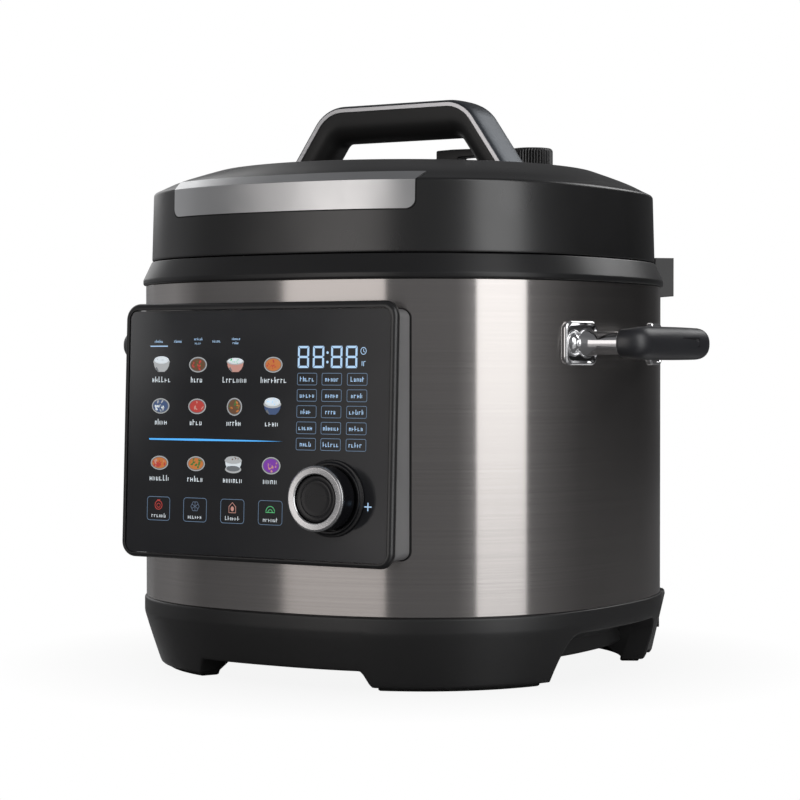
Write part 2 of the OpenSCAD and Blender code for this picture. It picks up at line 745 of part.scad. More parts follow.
base_tray();
bottom_plate();
base_screws();
rubber_feet();
steel_shell();
upper_ring();
outer_pot();
locking_flange();
heating_plate();
heater_element();
plate_standoffs();
insulation_sleeve();
probe_bracket();
temperature_probe();
probe_spring();
pressure_switch();
power_board();
inlet_housing();
inlet_socket();
inlet_pins();
lid_rests();
cup_rails();
condensate_cup();
panel_gasket();
panel_housing();
panel_bezel();
panel_glass();
display_module();
control_board();
rotary_encoder();
encoder_shaft();
knob_base_ring();
control_knob();
knob_ring();
knob_button();
bracket_plates();
handle_tubes();
right_grip();
left_grip();
inner_pot();
lid_cover();
lid_underplate();
lid_trim_plate();
lid_slip_ring();
lid_top_disc();
lid_handle();
handle_core();
handle_trims();
handle_screws();
pressure_lid();
sealing_ring();
seal_rack();
valve_stem();
steam_filter();
steam_knob();
lever_bracket();
lever_pin();
release_lever();
float_valve();
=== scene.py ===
# %% [markdown]
# # An electric pressure cooker
#
# This lesson dresses a packed engineering model of a pressure cooker. The model fixes every size and
# every joint, and the cells below build the visible skins round it: brushed steel, moulded plastic,
# a printed glass panel, chrome and rubber. Each skin rides on the body that it belongs to.

# %% Load the frame
import bmesh
import bpy
import math
import random
from mathutils import Matrix, Vector


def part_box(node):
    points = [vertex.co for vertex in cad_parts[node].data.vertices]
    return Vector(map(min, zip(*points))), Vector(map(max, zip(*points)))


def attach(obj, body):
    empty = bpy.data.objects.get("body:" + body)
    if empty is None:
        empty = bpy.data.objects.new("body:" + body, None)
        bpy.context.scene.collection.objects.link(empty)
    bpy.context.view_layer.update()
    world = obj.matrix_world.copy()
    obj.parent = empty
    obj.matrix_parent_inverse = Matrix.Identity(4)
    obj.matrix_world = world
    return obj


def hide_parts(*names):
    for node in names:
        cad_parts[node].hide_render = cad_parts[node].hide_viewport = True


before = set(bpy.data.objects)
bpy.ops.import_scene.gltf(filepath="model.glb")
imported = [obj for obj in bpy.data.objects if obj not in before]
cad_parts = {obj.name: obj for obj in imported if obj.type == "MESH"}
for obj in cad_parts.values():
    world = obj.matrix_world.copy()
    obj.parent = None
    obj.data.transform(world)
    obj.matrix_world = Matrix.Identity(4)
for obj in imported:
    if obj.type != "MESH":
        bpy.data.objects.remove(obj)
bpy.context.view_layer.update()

mm = 0.001

# %% [markdown]
# ## Sizes that come from the frame
#
# The cooker is a rounded square in plan: a superellipse, the curve between a circle and a square.
# One function gives its reach at any angle, and every skin of the body uses it, so the skins nest.

# %% Driving sizes, in millimetres
def span(node):
    low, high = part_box(node)
    return low / mm, high / mm


CORNER_POWER = 2.45      # 2 would be a circle
PLAN_STEPS = 192         # points round a plan outline
shell_low, shell_high = span("steel_shell")
ring_high = span("upper_ring")[1]
base_low, base_high = span("base_tray")
cover_low, cover_high = span("lid_cover")
disc_high = span("lid_top_disc")[1]
body_r = shell_high.x
lid_r = cover_high.x
disc_r = disc_high.x
disc_top = disc_high.z


def reach(angle, roundness=0.0):
    c, s = abs(math.cos(angle)), abs(math.sin(angle))
    square = (c ** CORNER_POWER + s ** CORNER_POWER) ** (-1 / CORNER_POWER)
    return square + (1 - square) * roundness


def side_of_body(along, radius=body_r):
    """How far out the rounded square is at a distance along one of its flat sides."""
    return (radius ** CORNER_POWER - abs(along) ** CORNER_POWER) ** (1 / CORNER_POWER)


print("body half width", round(body_r, 1), "corner reach", round(body_r * reach(math.pi / 4), 1))

# %% [markdown]
# ## Lofting with bridged loops
#
# Most housings here are stacks of outlines. Drawing each outline as a loop of edges and bridging
# neighbouring loops gives clean quads that follow the shape, which booleans on boxes wouldn't.
# Corners of a section are softened first, because real moulded edges always carry a radius.

# %% Outlines, loops and bridges
def plan_loop(radius, height, roundness=0.0):
    """The body's outline at a height; roundness 1 makes it a circle."""
    points = []
    for i in range(PLAN_STEPS):
        a = 2 * math.pi * i / PLAN_STEPS
        r = radius * reach(a, roundness)
        points.append((r * math.cos(a), r * math.sin(a), height))
    return points


def rectangle(width, height, corner, steps=8):
    points = []
    for quarter, (sx, sy) in enumerate(((1, 1), (-1, 1), (-1, -1), (1, -1))):
        for i in range(steps + 1):
            a = math.pi / 2 * (quarter + i / steps)
            points.append((sx * (width / 2 - corner) + corner * math.cos(a),
                           sy * (height / 2 - corner) + corner * math.sin(a)))
    return points


def soften(points, radius, steps=4, closed=False):
    """Round the corners of a run of points; a point keeps its corner where the radius is 0."""
    count = len(points)
    result = []
    for i, point in enumerate(points):
        if not closed and i in (0, count - 1):
            result.append(tuple(point))
            continue
        p, a, b = Vector(point), Vector(points[i - 1]), Vector(points[(i + 1) % count])
        reach_a = min(radius, 0.45 * (a - p).length)
        reach_b = min(radius, 0.45 * (b - p).length)
        start, end = p + (a - p).normalized() * reach_a, p + (b - p).normalized() * reach_b
        for k in range(steps + 1):
            t = k / steps
            result.append(tuple((1 - t) ** 2 * start + 2 * t * (1 - t) * p + t * t * end))
    return result


def loop(bm, points, matrix=Matrix.Identity(4), closed=True):
    verts = [bm.verts.new(matrix @ (Vector(p) * mm)) for p in points]
    pairs = list(zip(verts, verts[1:]))
    if closed:
        pairs.append((verts[-1], verts[0]))
    return [bm.edges.new(pair) for pair in pairs]


def loft(bm, loops, joined=False, caps=True, matrix=Matrix.Identity(4), closed=True):
    """Bridge a stack of outlines. joined makes a ring of it; otherwise caps closes its two ends."""
    rings = [loop(bm, points, matrix, closed) for points in loops]
    for i in range(len(rings) if joined else len(rings) - 1):
        bmesh.ops.bridge_loops(bm, edges=rings[i] + rings[(i + 1) % len(rings)])
    if caps and not joined:
        for end in (rings[0], rings[-1]):
            bmesh.ops.contextual_create(bm, geom=end)


def lathe(bm, profile, matrix=Matrix.Identity(4), steps=96):
    """Spin a run of (radius, height) points about the matrix's own Z."""
    verts = [bm.verts.new(Vector((r, 0, h)) * mm) for r, h in profile]
    edges = [bm.edges.new(pair) for pair in zip(verts, verts[1:])]
    made = bmesh.ops.spin(bm, geom=verts + edges, cent=(0, 0, 0), axis=(0, 0, 1),
                          angle=2 * math.pi, steps=steps, use_merge=True)
    turned = set(verts) | {g for g in made["geom_last"] if isinstance(g, bmesh.types.BMVert)}
    waiting = list(turned)
    while waiting:
        neighbours = {v for edge in waiting.pop().link_edges for v in edge.verts} - turned
        turned |= neighbours
        waiting += neighbours
    bmesh.ops.transform(bm, matrix=matrix, verts=list(turned))


def slab(bm, outline, front, back, matrix, bevel=0.0, segments=3):
    """Plate across the matrix's Y from an outline in its X and Z, with its front edge rounded."""
    face = bm.faces.new([bm.verts.new(matrix @ (Vector((x, front, z)) * mm)) for x, z in outline])
    made = bmesh.ops.extrude_face_region(bm, geom=[face])["geom"]
    moved = [g for g in made if isinstance(g, bmesh.types.BMVert)]
    shift = matrix.to_3x3() @ Vector((0, (back - front) * mm, 0))
    bmesh.ops.translate(bm, verts=moved, vec=shift)
    if bevel:
        bmesh.ops.bevel(bm, geom=list(face.edges), offset=bevel * mm, segments=segments,
                        affect="EDGES", profile=0.5, material=-1)


print("a softened corner has", len(soften([(0, 0), (1, 0), (1, 1)], 0.2)) - 2, "points")

# %% [markdown]
# Every finished mesh goes through one function. It welds doubles, turns the faces outwards, shades
# smooth except at real edges, and says which body the piece rides on and which rough solid it replaces.

# %% Finish a piece
WELD_GAP = 0.004         # points closer than this become one


def piece(bm, name, materials, body, stands_for=(), edge=35, weld=True):
    if weld:
        bmesh.ops.remove_doubles(bm, verts=bm.verts, dist=WELD_GAP * mm)
    bmesh.ops.recalc_face_normals(bm, faces=bm.faces)
    mesh = bpy.data.meshes.new(name)
    bm.to_mesh(mesh)
    bm.free()
    for m in materials if isinstance(materials, list) else [materials]:
        mesh.materials.append(m)
    mesh.shade_smooth()
    mesh.set_sharp_from_angle(angle=math.radians(edge))
    obj = bpy.data.objects.new(name, mesh)
    bpy.context.scene.collection.objects.link(obj)
    even = obj.modifiers.new("even_shading", "WEIGHTED_NORMAL")
    even.keep_sharp = True
    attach(obj, body)
    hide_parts(*stands_for)
    print(f"{name}: {len(mesh.polygons)} faces")
    return obj


print("points within", WELD_GAP, "mm are welded")

# %% [markdown]
# ## The camera
#
# A product shot taken from a little above table height with a long lens keeps the uprights almost
# parallel. The camera stands to the front right and looks at the middle of the body.

# %% Camera
CAMERA_TURN = math.radians(31.05)      # from the front towards the right
LENS_LENGTH = 105.75
CAMERA_DISTANCE = 1.455
CAMERA_HEIGHT = 0.1845
AIM_TURN = math.radians(-0.129)
AIM_TILT = math.radians(-0.935)
into = Vector((-math.sin(CAMERA_TURN), math.cos(CAMERA_TURN), 0))
across = Vector((math.cos(CAMERA_TURN), math.sin(CAMERA_TURN), 0))
level = into * math.cos(AIM_TURN) + across * math.sin(AIM_TURN)
aim = level * math.cos(AIM_TILT) + Vector((0, 0, math.sin(AIM_TILT)))
lens = bpy.data.cameras.new("camera")
lens.lens = LENS_LENGTH
lens.sensor_width = 36
lens.clip_end = 50
camera = bpy.data.objects.new("camera", lens)
camera.location = -into * CAMERA_DISTANCE + Vector((0, 0, CAMERA_HEIGHT))
camera.rotation_euler = aim.to_track_quat("-Z", "Y").to_euler()
bpy.context.scene.collection.objects.link(camera)
bpy.context.scene.camera = camera
print("camera at", [round(c, 3) for c in camera.location])

# %% [markdown]
# ## Finishes
#
# Each finish starts from one plain shader and gets what its real surface has: spark-eroded grain on
# moulded plastic, long brush lines on steel, flakes in paint. Patterns read object coordinates, so
# they stay put on the piece. Values that are the same all over are set on the shader itself, where
# they need no nodes. Image textures could do the same, but they would need unwrapped meshes.

# %% A finish and its helpers
def finish(name, colour, roughness, metal=0.0, **sockets):
    m = bpy.data.materials.new(name)
    m.use_nodes = True
    shader = m.node_tree.nodes["Principled BSDF"]
    shader.inputs["Base Color"].default_value = (*colour, 1)
    shader.inputs["Roughness"].default_value = roughness
    shader.inputs["Metallic"].default_value = metal
    for socket, value in sockets.items():
        shader.inputs[socket.replace("_", " ")].default_value = value
    return m


def noise(m, scale, stretch=(1, 1, 1), detail=3.0, turn=(0, 0, 0)):
    nodes, links = m.node_tree.nodes, m.node_tree.links
    where = nodes.new("ShaderNodeTexCoord")
    mapping = nodes.new("ShaderNodeMapping")
    mapping.inputs["Scale"].default_value = stretch
    mapping.inputs["Rotation"].default_value = turn
    texture = nodes.new("ShaderNodeTexNoise")
    texture.inputs["Scale"].default_value = scale
    texture.inputs["Detail"].default_value = detail
    links.new(where.outputs["Object"], mapping.inputs["Vector"])
    links.new(mapping.outputs["Vector"], texture.inputs["Vector"])
    return texture.outputs["Fac"]


def ramp(m, factor, low, high, start=0.3, end=0.7):
    node = m.node_tree.nodes.new("ShaderNodeMapRange")
    node.inputs["From Min"].default_value = start
    node.inputs["From Max"].default_value = end
    node.inputs["To Min"].default_value = low
    node.inputs["To Max"].default_value = high
    m.node_tree.links.new(factor, node.inputs["Value"])
    return node.outputs["Result"]


def vary_roughness(m, factor, low, high):
    shader = m.node_tree.nodes["Principled BSDF"]
    m.node_tree.links.new(ramp(m, factor, low, high), shader.inputs["Roughness"])


def vary_colour(m, factor, first, second, start=0.3, end=0.7):
    node = m.node_tree.nodes.new("ShaderNodeMix")
    node.data_type = "RGBA"
    colours = [s for s in node.inputs if s.type == "RGBA"]
    colours[0].default_value = (*first, 1)
    colours[1].default_value = (*second, 1)
    m.node_tree.links.new(ramp(m, factor, 0, 1, start, end), node.inputs[0])
    result = [s for s in node.outputs if s.type == "RGBA"][0]
    m.node_tree.links.new(result, m.node_tree.nodes["Principled BSDF"].inputs["Base Color"])


def bump(m, factor, height, strength=1.0):
    node = m.node_tree.nodes.new("ShaderNodeBump")
    node.inputs["Strength"].default_value = strength
    node.inputs["Distance"].default_value = height * mm
    m.node_tree.links.new(factor, node.inputs["Height"])
    shader = m.node_tree.nodes["Principled BSDF"]
    m.node_tree.links.new(node.outputs["Normal"], shader.inputs["Normal"])


def moulded(name, colour, roughness, grain=0.02, grain_scale=1400, **sockets):
    """Moulded plastic or rubber: fine spark-eroded grain, and slow changes in sheen and shade."""
    m = finish(name, colour, roughness, **sockets)
    vary_roughness(m, noise(m, 14), roughness - 0.05, roughness + 0.05)
    vary_colour(m, noise(m, 9), [c * 0.9 for c in colour], [c * 1.1 for c in colour])
    bump(m, noise(m, grain_scale, detail=2), grain)
    return m


def brushed(name, colour, roughness, along, contrast=0.05, spread=0.03, **sockets):
    """Brushed metal. along is the direction of the brush lines: 'round' the body, or 'x'."""
    stretch = {"round": (5, 5, 1400), "x": (12, 900, 900)}[along]
    m = finish(name, colour, roughness, 1.0, **sockets)
    lines = noise(m, 1, stretch, detail=6)
    vary_roughness(m, lines, roughness - spread, roughness + spread)
    darker = [c * (1 - contrast) for c in colour]
    lighter = [min(1, c * (1 + contrast)) for c in colour]
    vary_colour(m, lines, darker, lighter)
    bump(m, lines, 0.0015, 0.6)
    if along == "round":
        tangent = m.node_tree.nodes.new("ShaderNodeTangent")
        tangent.direction_type = "RADIAL"
        tangent.axis = "Z"
        shader = m.node_tree.nodes["Principled BSDF"]
        m.node_tree.links.new(tangent.outputs["Tangent"], shader.inputs["Tangent"])
    return m


print("finish helpers ready")

# %% [markdown]
# The body is dark tinted steel, brushed round the shell, so lights smear upwards and downwards and
# keep crisp sides. The plastics differ mostly in sheen: the lid is silkier than the base.

# %% Finishes of the cooker
shell_steel = brushed("tinted_brushed_steel", (0.50, 0.475, 0.46), 0.17, "round", 0.04, 0.015,
                      Anisotropic=0.9, Anisotropic_Rotation=0.25)
lid_plastic = moulded("lid_satin_black", (0.013, 0.013, 0.0135), 0.31, 0.012,
                      Specular_IOR_Level=0.95)
handle_black = moulded("handle_satin_black", (0.021, 0.021, 0.021), 0.42, 0.012)
ring_plastic = moulded("ring_satin_black", (0.020, 0.020, 0.021), 0.33, 0.012)
base_plastic = moulded("base_black", (0.022, 0.022, 0.0225), 0.40, 0.02, 1000,
                       Specular_IOR_Level=0.7)
grip_rubber = moulded("grip_rubber", (0.020, 0.021, 0.026), 0.42, 0.03, 900,
                      Specular_IOR_Level=1.0)
foot_rubber = moulded("foot_rubber", (0.010, 0.010, 0.010), 0.75, 0.04, 700)
housing_grey = moulded("housing_grey", (0.26, 0.26, 0.265), 0.45, 0.012)
bezel_black = moulded("bezel_black", (0.014, 0.014, 0.015), 0.34, 0.006,
                      Specular_IOR_Level=0.9)
# black for the gasket, the inlet socket and the grip inlays; round the lid plate it is painted shadow in the
# gap
black_and_painted_gap_shadow = moulded("black_and_painted_gap_shadow", (0.004, 0.004, 0.004), 0.60, 0.01)
knob_black = moulded("knob_black", (0.009, 0.009, 0.011), 0.26, 0.005)
panel_glass = moulded("printed_glass", (0.034, 0.035, 0.039), 0.14, 0.0,
                      Specular_IOR_Level=0.4)
handle_paint = finish("flake_paint", (0.075, 0.085, 0.098), 0.40, 0.75)
flakes = noise(handle_paint, 2600, detail=1)
vary_colour(handle_paint, flakes, (0.060, 0.070, 0.082), (0.110, 0.122, 0.138))
bump(handle_paint, noise(handle_paint, 1800, detail=1), 0.006)
silver_trim = brushed("satin_silver", (0.80, 0.80, 0.82), 0.30, "x", 0.03)
plate_silver = finish("lid_plate_silver", (0.78, 0.785, 0.79), 0.34, 1.0)
vary_roughness(plate_silver, noise(plate_silver, 60), 0.31, 0.37)
bump(plate_silver, noise(plate_silver, 2200, detail=2), 0.006)
knob_silver = finish("turned_silver", (0.78, 0.78, 0.79), 0.22, 1.0)
vary_roughness(knob_silver, noise(knob_silver, 900, detail=4), 0.24, 0.28)
chrome = finish("chrome", (0.82, 0.82, 0.83), 0.06, 1.0)
vary_roughness(chrome, noise(chrome, 40), 0.04, 0.09)
pot_steel = brushed("pot_steel", (0.66, 0.66, 0.67), 0.26, "round", 0.05)
plain_metal = finish("plain_metal", (0.55, 0.55, 0.57), 0.35, 1.0)
vary_roughness(plain_metal, noise(plain_metal, 120), 0.28, 0.42)
cast_aluminium = finish("cast_aluminium", (0.55, 0.55, 0.56), 0.45, 1.0)
bump(cast_aluminium, noise(cast_aluminium, 500), 0.03)
brass = finish("brass", (0.72, 0.55, 0.24), 0.28, 1.0)
vary_roughness(brass, noise(brass, 200), 0.22, 0.36)
silicone = moulded("white_silicone", (0.70, 0.70, 0.68), 0.45, 0.01, 800)
smoked_plastic = moulded("smoked_plastic", (0.10, 0.10, 0.11), 0.16, 0.0, Coat_Weight=0.3)
felt = moulded("insulation_felt", (0.66, 0.62, 0.52), 0.95, 0.4, 500)
board_green = moulded("board_green", (0.02, 0.10, 0.04), 0.40, 0.02, 600)
slip_white = moulded("slip_white", (0.72, 0.72, 0.70), 0.40, 0.005)
print("finishes:", len(bpy.data.materials))

# %% [markdown]
# ## The steel shell
#
# A sheet rolled to the rounded square. Its rims are turned in by a millimetre, which is what catches
# the light where steel meets plastic, so the section is a thin hook rather than a bare edge.

# %% Steel shell
bm = bmesh.new()
z0, z1 = shell_low.z, shell_high.z
wall = 0.8
section = soften([(body_r - 1.4, z0), (body_r, z0), (body_r, z1), (body_r - 1.4, z1)], 0.6)
inside = [(body_r - wall - 0.6, z1 - wall), (body_r - wall - 0.6, z0 + wall)]
loft(bm, [plan_loop(r, z) for r, z in section + inside], joined=True)
piece(bm, "steel_body_shell", shell_steel, "root", ["steel_shell"])

# %% [markdown]
# ## The upper ring
#
# The black ring slopes out from under the lid to a small upright lip that overhangs the steel. In the
# corners it widens into a flat deck, because its inside is round and its outside is a rounded square.

# %% Upper ring
bm = bmesh.new()
z0, z1 = shell_high.z, ring_high.z
lip_r = ring_high.x - 0.6
inner_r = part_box("locking_flange")[1].x / mm + 0.3
top_r = body_r - 3.7
section = soften([(body_r - 1.2, z0 + 0.1), (lip_r - 0.5, z0 + 0.1), (lip_r, z0 + 0.9), (lip_r, z0 + 3.2),
                  (top_r + 0.4, z1), (top_r - 1.5, z1)], 0.7)
levels = [plan_loop(r, z) for r, z in section]
levels += [plan_loop(inner_r + 0.8, z1, 1), plan_loop(inner_r, z1 - 0.8, 1), plan_loop(inner_r, z0 - 7.5, 1),
           plan_loop(inner_r + 2, z0 - 8, 1), plan_loop(body_r - 1.2, z0 - 8)]
loft(bm, levels, joined=True)
piece(bm, "upper_ring_skin", ring_plastic, "root", ["upper_ring"])

# %% [markdown]
# ## The base
#
# The base is one moulding: an upright band under the steel, a long taper, and four corner feet left
# standing where the sides are cut away. The skin is lofted in loops from the top edge down, and each
# loop follows the shape of the lower edge a little more, so feet and cuts come out of one surface.

# %% Base moulding
FOOT_SPAN = (25, 67.5)
floor_z = base_low.z + 9.5
arch_top = 29.5
base_r = base_high.x


def base_radius(z):
    """The base's outside at a height: upright band, then the taper towards the feet."""
    crease, bottom = base_high.z - 8.9, base_low.z
    if z >= crease:
        return base_r
    share = (z - bottom) / (crease - bottom)
    return base_r - 9.6 * (1 - share) ** 1.08


def skirt_bottom(angle):
    """Height of the base's lower edge: feet in the corners, open sides, shallow cuts front and back."""
    past_side = math.degrees(math.atan2(abs(math.sin(angle)), abs(math.cos(angle))))
    if past_side < 45:
        share = min(1, max(0, (past_side - FOOT_SPAN[0] + 8) / 8))
        return arch_top + (base_low.z - arch_top) * share ** 3
    share = min(1, max(0, (FOOT_SPAN[1] - past_side) / 3 + 0.5))
    return floor_z + (base_low.z - floor_z) * share * share * (3 - 2 * share)


def skirt_loop(depth, inset):
    """A loop of the base's wall: depth runs from 0 at the top to 1 at the lower edge."""
    points = []
    for i in range(PLAN_STEPS * 3):
        a = 2 * math.pi * i / (PLAN_STEPS * 3)
        z = base_high.z + (skirt_bottom(a) - base_high.z) * depth
        r = base_radius(z) * reach(a) - inset
        points.append((r * math.cos(a), r * math.sin(a), z))
    return points


bm = bmesh.new()
loops = [skirt_loop(0, 6), skirt_loop(0, 0.8), skirt_loop(0.02, 0.1), skirt_loop(0.04, 0)]
loops += [skirt_loop(s, 0) for s in (0.12, 0.20, 0.24, 0.3, 0.45, 0.6, 0.75, 0.88, 0.95)]
loops += [skirt_loop(0.98, 0.2), skirt_loop(0.995, 0.8), skirt_loop(1.0, 1.8)]
loops += [skirt_loop(1.0, 13), skirt_loop(0.97, 14)]
loops += [[(x * 0.80, y * 0.80, floor_z + 3.5) for x, y, _ in skirt_loop(1.0, 0)]]
loops += [[(x * 0.88, y * 0.88, base_high.z - 1) for x, y, _ in skirt_loop(0, 0)]]
loft(bm, loops, joined=True)
piece(bm, "base_moulding", base_plastic, "root", ["base_tray"], edge=50)

# %% [markdown]
# Under the arches a second wall closes the base, as the tray of such a base does. It is a ring of its
# own, so the outer skin can stay one simple surface.

# %% Inner wall and floor of the base
bm = bmesh.new()
wall_r = 128
wall_top = 30.5
opening_r = 104          # the round hole for the bottom plate
floor_low, floor_high = 13.2, 15
loft(bm, [plan_loop(wall_r - 1, wall_top), plan_loop(wall_r, wall_top - 1), plan_loop(wall_r, 14.5),
          plan_loop(wall_r - 1.2, floor_low), plan_loop(opening_r, floor_low, 1),
          plan_loop(opening_r, floor_high, 1), plan_loop(wall_r - 4, floor_high),
          plan_loop(wall_r - 4, wall_top)], joined=True)
piece(bm, "base_inner_wall", base_plastic, "root")

# %% [markdown]
# The mains inlet sits in a small housing across the back corner. Its outline is drawn square to the
# corner and carried outwards, then back in through the mouth, so the opening needs no boolean.

# %% Inlet housing
bm = bmesh.new()
inlet_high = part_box("inlet_housing")[1].z / mm
lean_from = 33           # below this height the base's taper begins
diagonal = Matrix.Rotation(math.radians(45), 4, "Z")
corner = body_r * reach(math.radians(45))


def inlet_loop(width, low, high, out):
    """A rounded rectangle on the back corner's diagonal, whose lower part leans in with the base."""
    middle = (low + high) / 2
    return [(out + 0.6 - max(0, lean_from - z - middle) * 0.30, y, z + middle)
            for y, z in rectangle(width, high - low, 2.5)]


loft(bm, [inlet_loop(26, 17, 37, corner - 6), inlet_loop(44, 2, inlet_high, corner - 6),
          inlet_loop(44, 2, inlet_high, corner + 1.4), inlet_loop(43, 2.5, inlet_high - 0.5, corner + 2),
          inlet_loop(26.6, 16.7, 37.3, corner + 2), inlet_loop(26, 17, 37, corner + 1.6)],
     joined=True, matrix=diagonal)
piece(bm, "inlet_surround", base_plastic, "root", ["inlet_housing"], edge=40)

# %% [markdown]
# The rubber pads are crescents under the feet. Each is a lofted block with a rounded lower edge and
# a small step at its top, both drawn in its section.

# %% Rubber foot pads
PAD_SWEEP = 38           # degrees from one end of a pad to the other
PAD_R_IN, PAD_R_OUT = 127, 138


def pad_loop(first, last, r_in, r_out, z, steps=18):
    """A crescent between two radii, from one bearing to another in degrees."""
    turns = [math.radians(first + (last - first) * i / steps) for i in range(steps + 1)]
    outer = [(r_out * reach(a) * math.cos(a), r_out * reach(a) * math.sin(a), z) for a in turns]
    inner = [(r_in * reach(a) * math.cos(a), r_in * reach(a) * math.sin(a), z) for a in reversed(turns)]
    return outer + inner


bm = bmesh.new()
section = ((0.0, 2.6), (0.3, 2.6), (0.0, 2.0), (0.0, 1.2), (0.25, 0.6), (0.9, 0.15), (1.8, 0.0))
for quarter in range(4):
    start = 90 * quarter + (27 if quarter % 2 == 0 else 25)
    stop = start + PAD_SWEEP
    loft(bm, [pad_loop(start + g / 2, stop - g / 2, PAD_R_IN + g, PAD_R_OUT - g, z) for g, z in section])
piece(bm, "foot_pads", foot_rubber, "root", ["rubber_feet"])

# %% [markdown]
# ## The lid's cover and its turning disc
#
# The cover starts as the body's rounded square and ends as a circle, where the turning disc begins.
# Each level of the loft says how round it is, and the bridges blend the two shapes between levels.
# The disc is spun from one profile, since it has to turn inside the cover without touching it.

# %% Lid cover
bm = bmesh.new()
top_edge = cover_high.z
hole_r = disc_r + 0.45
brow = top_edge - 13.9
dome = [(lid_r - 5.5, brow + 2.2, 0.03), (lid_r - 11, brow + 5.5, 0.15), (lid_r - 16.5, brow + 8.2, 0.35),
        (lid_r - 23, brow + 11.0, 0.66)]
skirt = [(lid_r - 1.6, cover_low.z, 0), (lid_r, cover_low.z, 0), (lid_r - 1.1, brow, 0)]
lip = [(hole_r + 2.2, top_edge - 0.3, 0.97), (hole_r, top_edge, 1)]
section = soften(skirt + soften(dome, 6, 5) + lip, 1.5, 5)
section += [(hole_r, top_edge - 2.6, 1), (lid_r - 18, brow + 4.6, 0.35), (lid_r - 3.8, brow - 3, 0),
            (lid_r - 2.4, cover_low.z, 0)]
loft(bm, [plan_loop(*s) for s in section], joined=True)
piece(bm, "lid_cover_skin", lid_plastic, "lid", ["lid_cover"])

# %% Turning disc
bm = bmesh.new()
rim = top_edge + 0.15
disc_wall = 2.6
crown = [(disc_r, rim - 4), (disc_r, rim - 0.5), (disc_r - 0.5, rim)]
crown += [(100, disc_top - 4.8), (85, disc_top - 4.1), (60, disc_top - 2.8), (30, disc_top - 1.4),
          (12, disc_top - 0.25), (0, disc_top)]
under = [(r, z - disc_wall) for r, z in reversed(crown[3:])]
lathe(bm, soften(crown, 5, 5) + under + [(disc_r - 3, rim - 4), (disc_r, rim - 4)], steps=144)
post_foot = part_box("pressure_lid")[1].z / mm
for x, y in ((80, 0), (0, 80), (-80, 0), (0, -80)):
    post = Matrix.Translation(Vector((x, y, 0)) * mm)
    lathe(bm, [(0, post_foot), (5, post_foot), (5, disc_top - 6), (0, disc_top - 6)], post, 24)
piece(bm, "turning_disc", lid_plastic, "lid_turntable", ["lid_top_disc"])

# %% [markdown]
# ## The silver plate on the lid
#
# A satin plate wraps the front of the skirt and folds back along the top edge, with its ends cut on
# the slant. It is bridged from upright runs of points, then given its thickness with solidify.

# %% Lid plate
plate_low, plate_high = span("lid_trim_plate")
plate_middle = (plate_low.x + plate_high.x) / 2
half = (plate_high.x - plate_low.x) / 2
low_corner = 5.0
fold_out, fold_rise, fold_in = 2.0, 4.5, 5.6


def plate_run(across_plate, grow=0.0):
    """One upright run across the plate at a distance from its middle."""
    x = plate_middle + across_plate
    inset = max(0.0, abs(across_plate) - (half + grow - low_corner))
    bottom = plate_low.z - grow + low_corner - math.sqrt(max(0.0, low_corner ** 2 - inset ** 2))
    run = [(x, -side_of_body(x, lid_r + 0.25 - (z - cover_low.z) * 0.024), z)
           for z in (bottom, (bottom + plate_high.z) / 2, plate_high.z - 0.5)]
    lean = x + across_plate * fold_out / half
    run += [(x, -side_of_body(x, lid_r - 1.35), plate_high.z + 0.1),
            (lean, -side_of_body(lean, lid_r - 1.4 - fold_in), plate_high.z + fold_rise)]
    return run


bm = bmesh.new()
steps = 88
runs = [half * math.sin(math.pi / 2 * (2 * i / steps - 1)) for i in range(steps + 1)]
edges = [loop(bm, plate_run(x), closed=False) for x in runs]
for a, b in zip(edges, edges[1:]):
    bmesh.ops.bridge_loops(bm, edges=a + b)
bmesh.ops.recalc_face_normals(bm, faces=bm.faces)
bmesh.ops.solidify(bm, geom=list(bm.faces), thickness=0.8 * mm)
piece(bm, "lid_silver_plate", plate_silver, "lid", ["lid_trim_plate"], edge=25)

# %% [markdown]
# A thin dark line shows where the plate meets the plastic; it is painted shadow for the gap between them. It
# is the same sheet made again, a little larger and a little deeper, without the fold.

# %% Painted shadow line round the plate
bm = bmesh.new()
edges = []
for x in runs:
    upright = plate_run(x * 1.008, 0.7)[:4]
    edges.append(loop(bm, [(px, py + 0.30, pz) for px, py, pz in upright], closed=False))
for a, b in zip(edges, edges[1:]):
    bmesh.ops.bridge_loops(bm, edges=a + b)
bmesh.ops.recalc_face_normals(bm, faces=bm.faces)
bmesh.ops.solidify(bm, geom=list(bm.faces), thickness=0.6 * mm)
# the edge of this dark sheet that shows past the plate is painted shadow for the gap
piece(bm, "lid_plate_painted_gap_shadow", black_and_painted_gap_shadow, "lid")

# %% [markdown]
# ## The lid handle
#
# The handle is an arch with sloping legs: a painted outer band, crowned across its width, a bright
# strip let into each edge, and a black core that fills the arch. The band and strips are sections
# carried along the arch; the core is the arch's own outline, extruded and rounded.

# %% Arch outlines
handle_high = span("lid_handle")[1]
HANDLE_LEAN = math.radians(34.5)
shoulder = 25.0          # radius of the outer bend
foot_x = 76.6
foot_line = 305.0        # height at which foot_x is measured
half_wide = handle_high.y


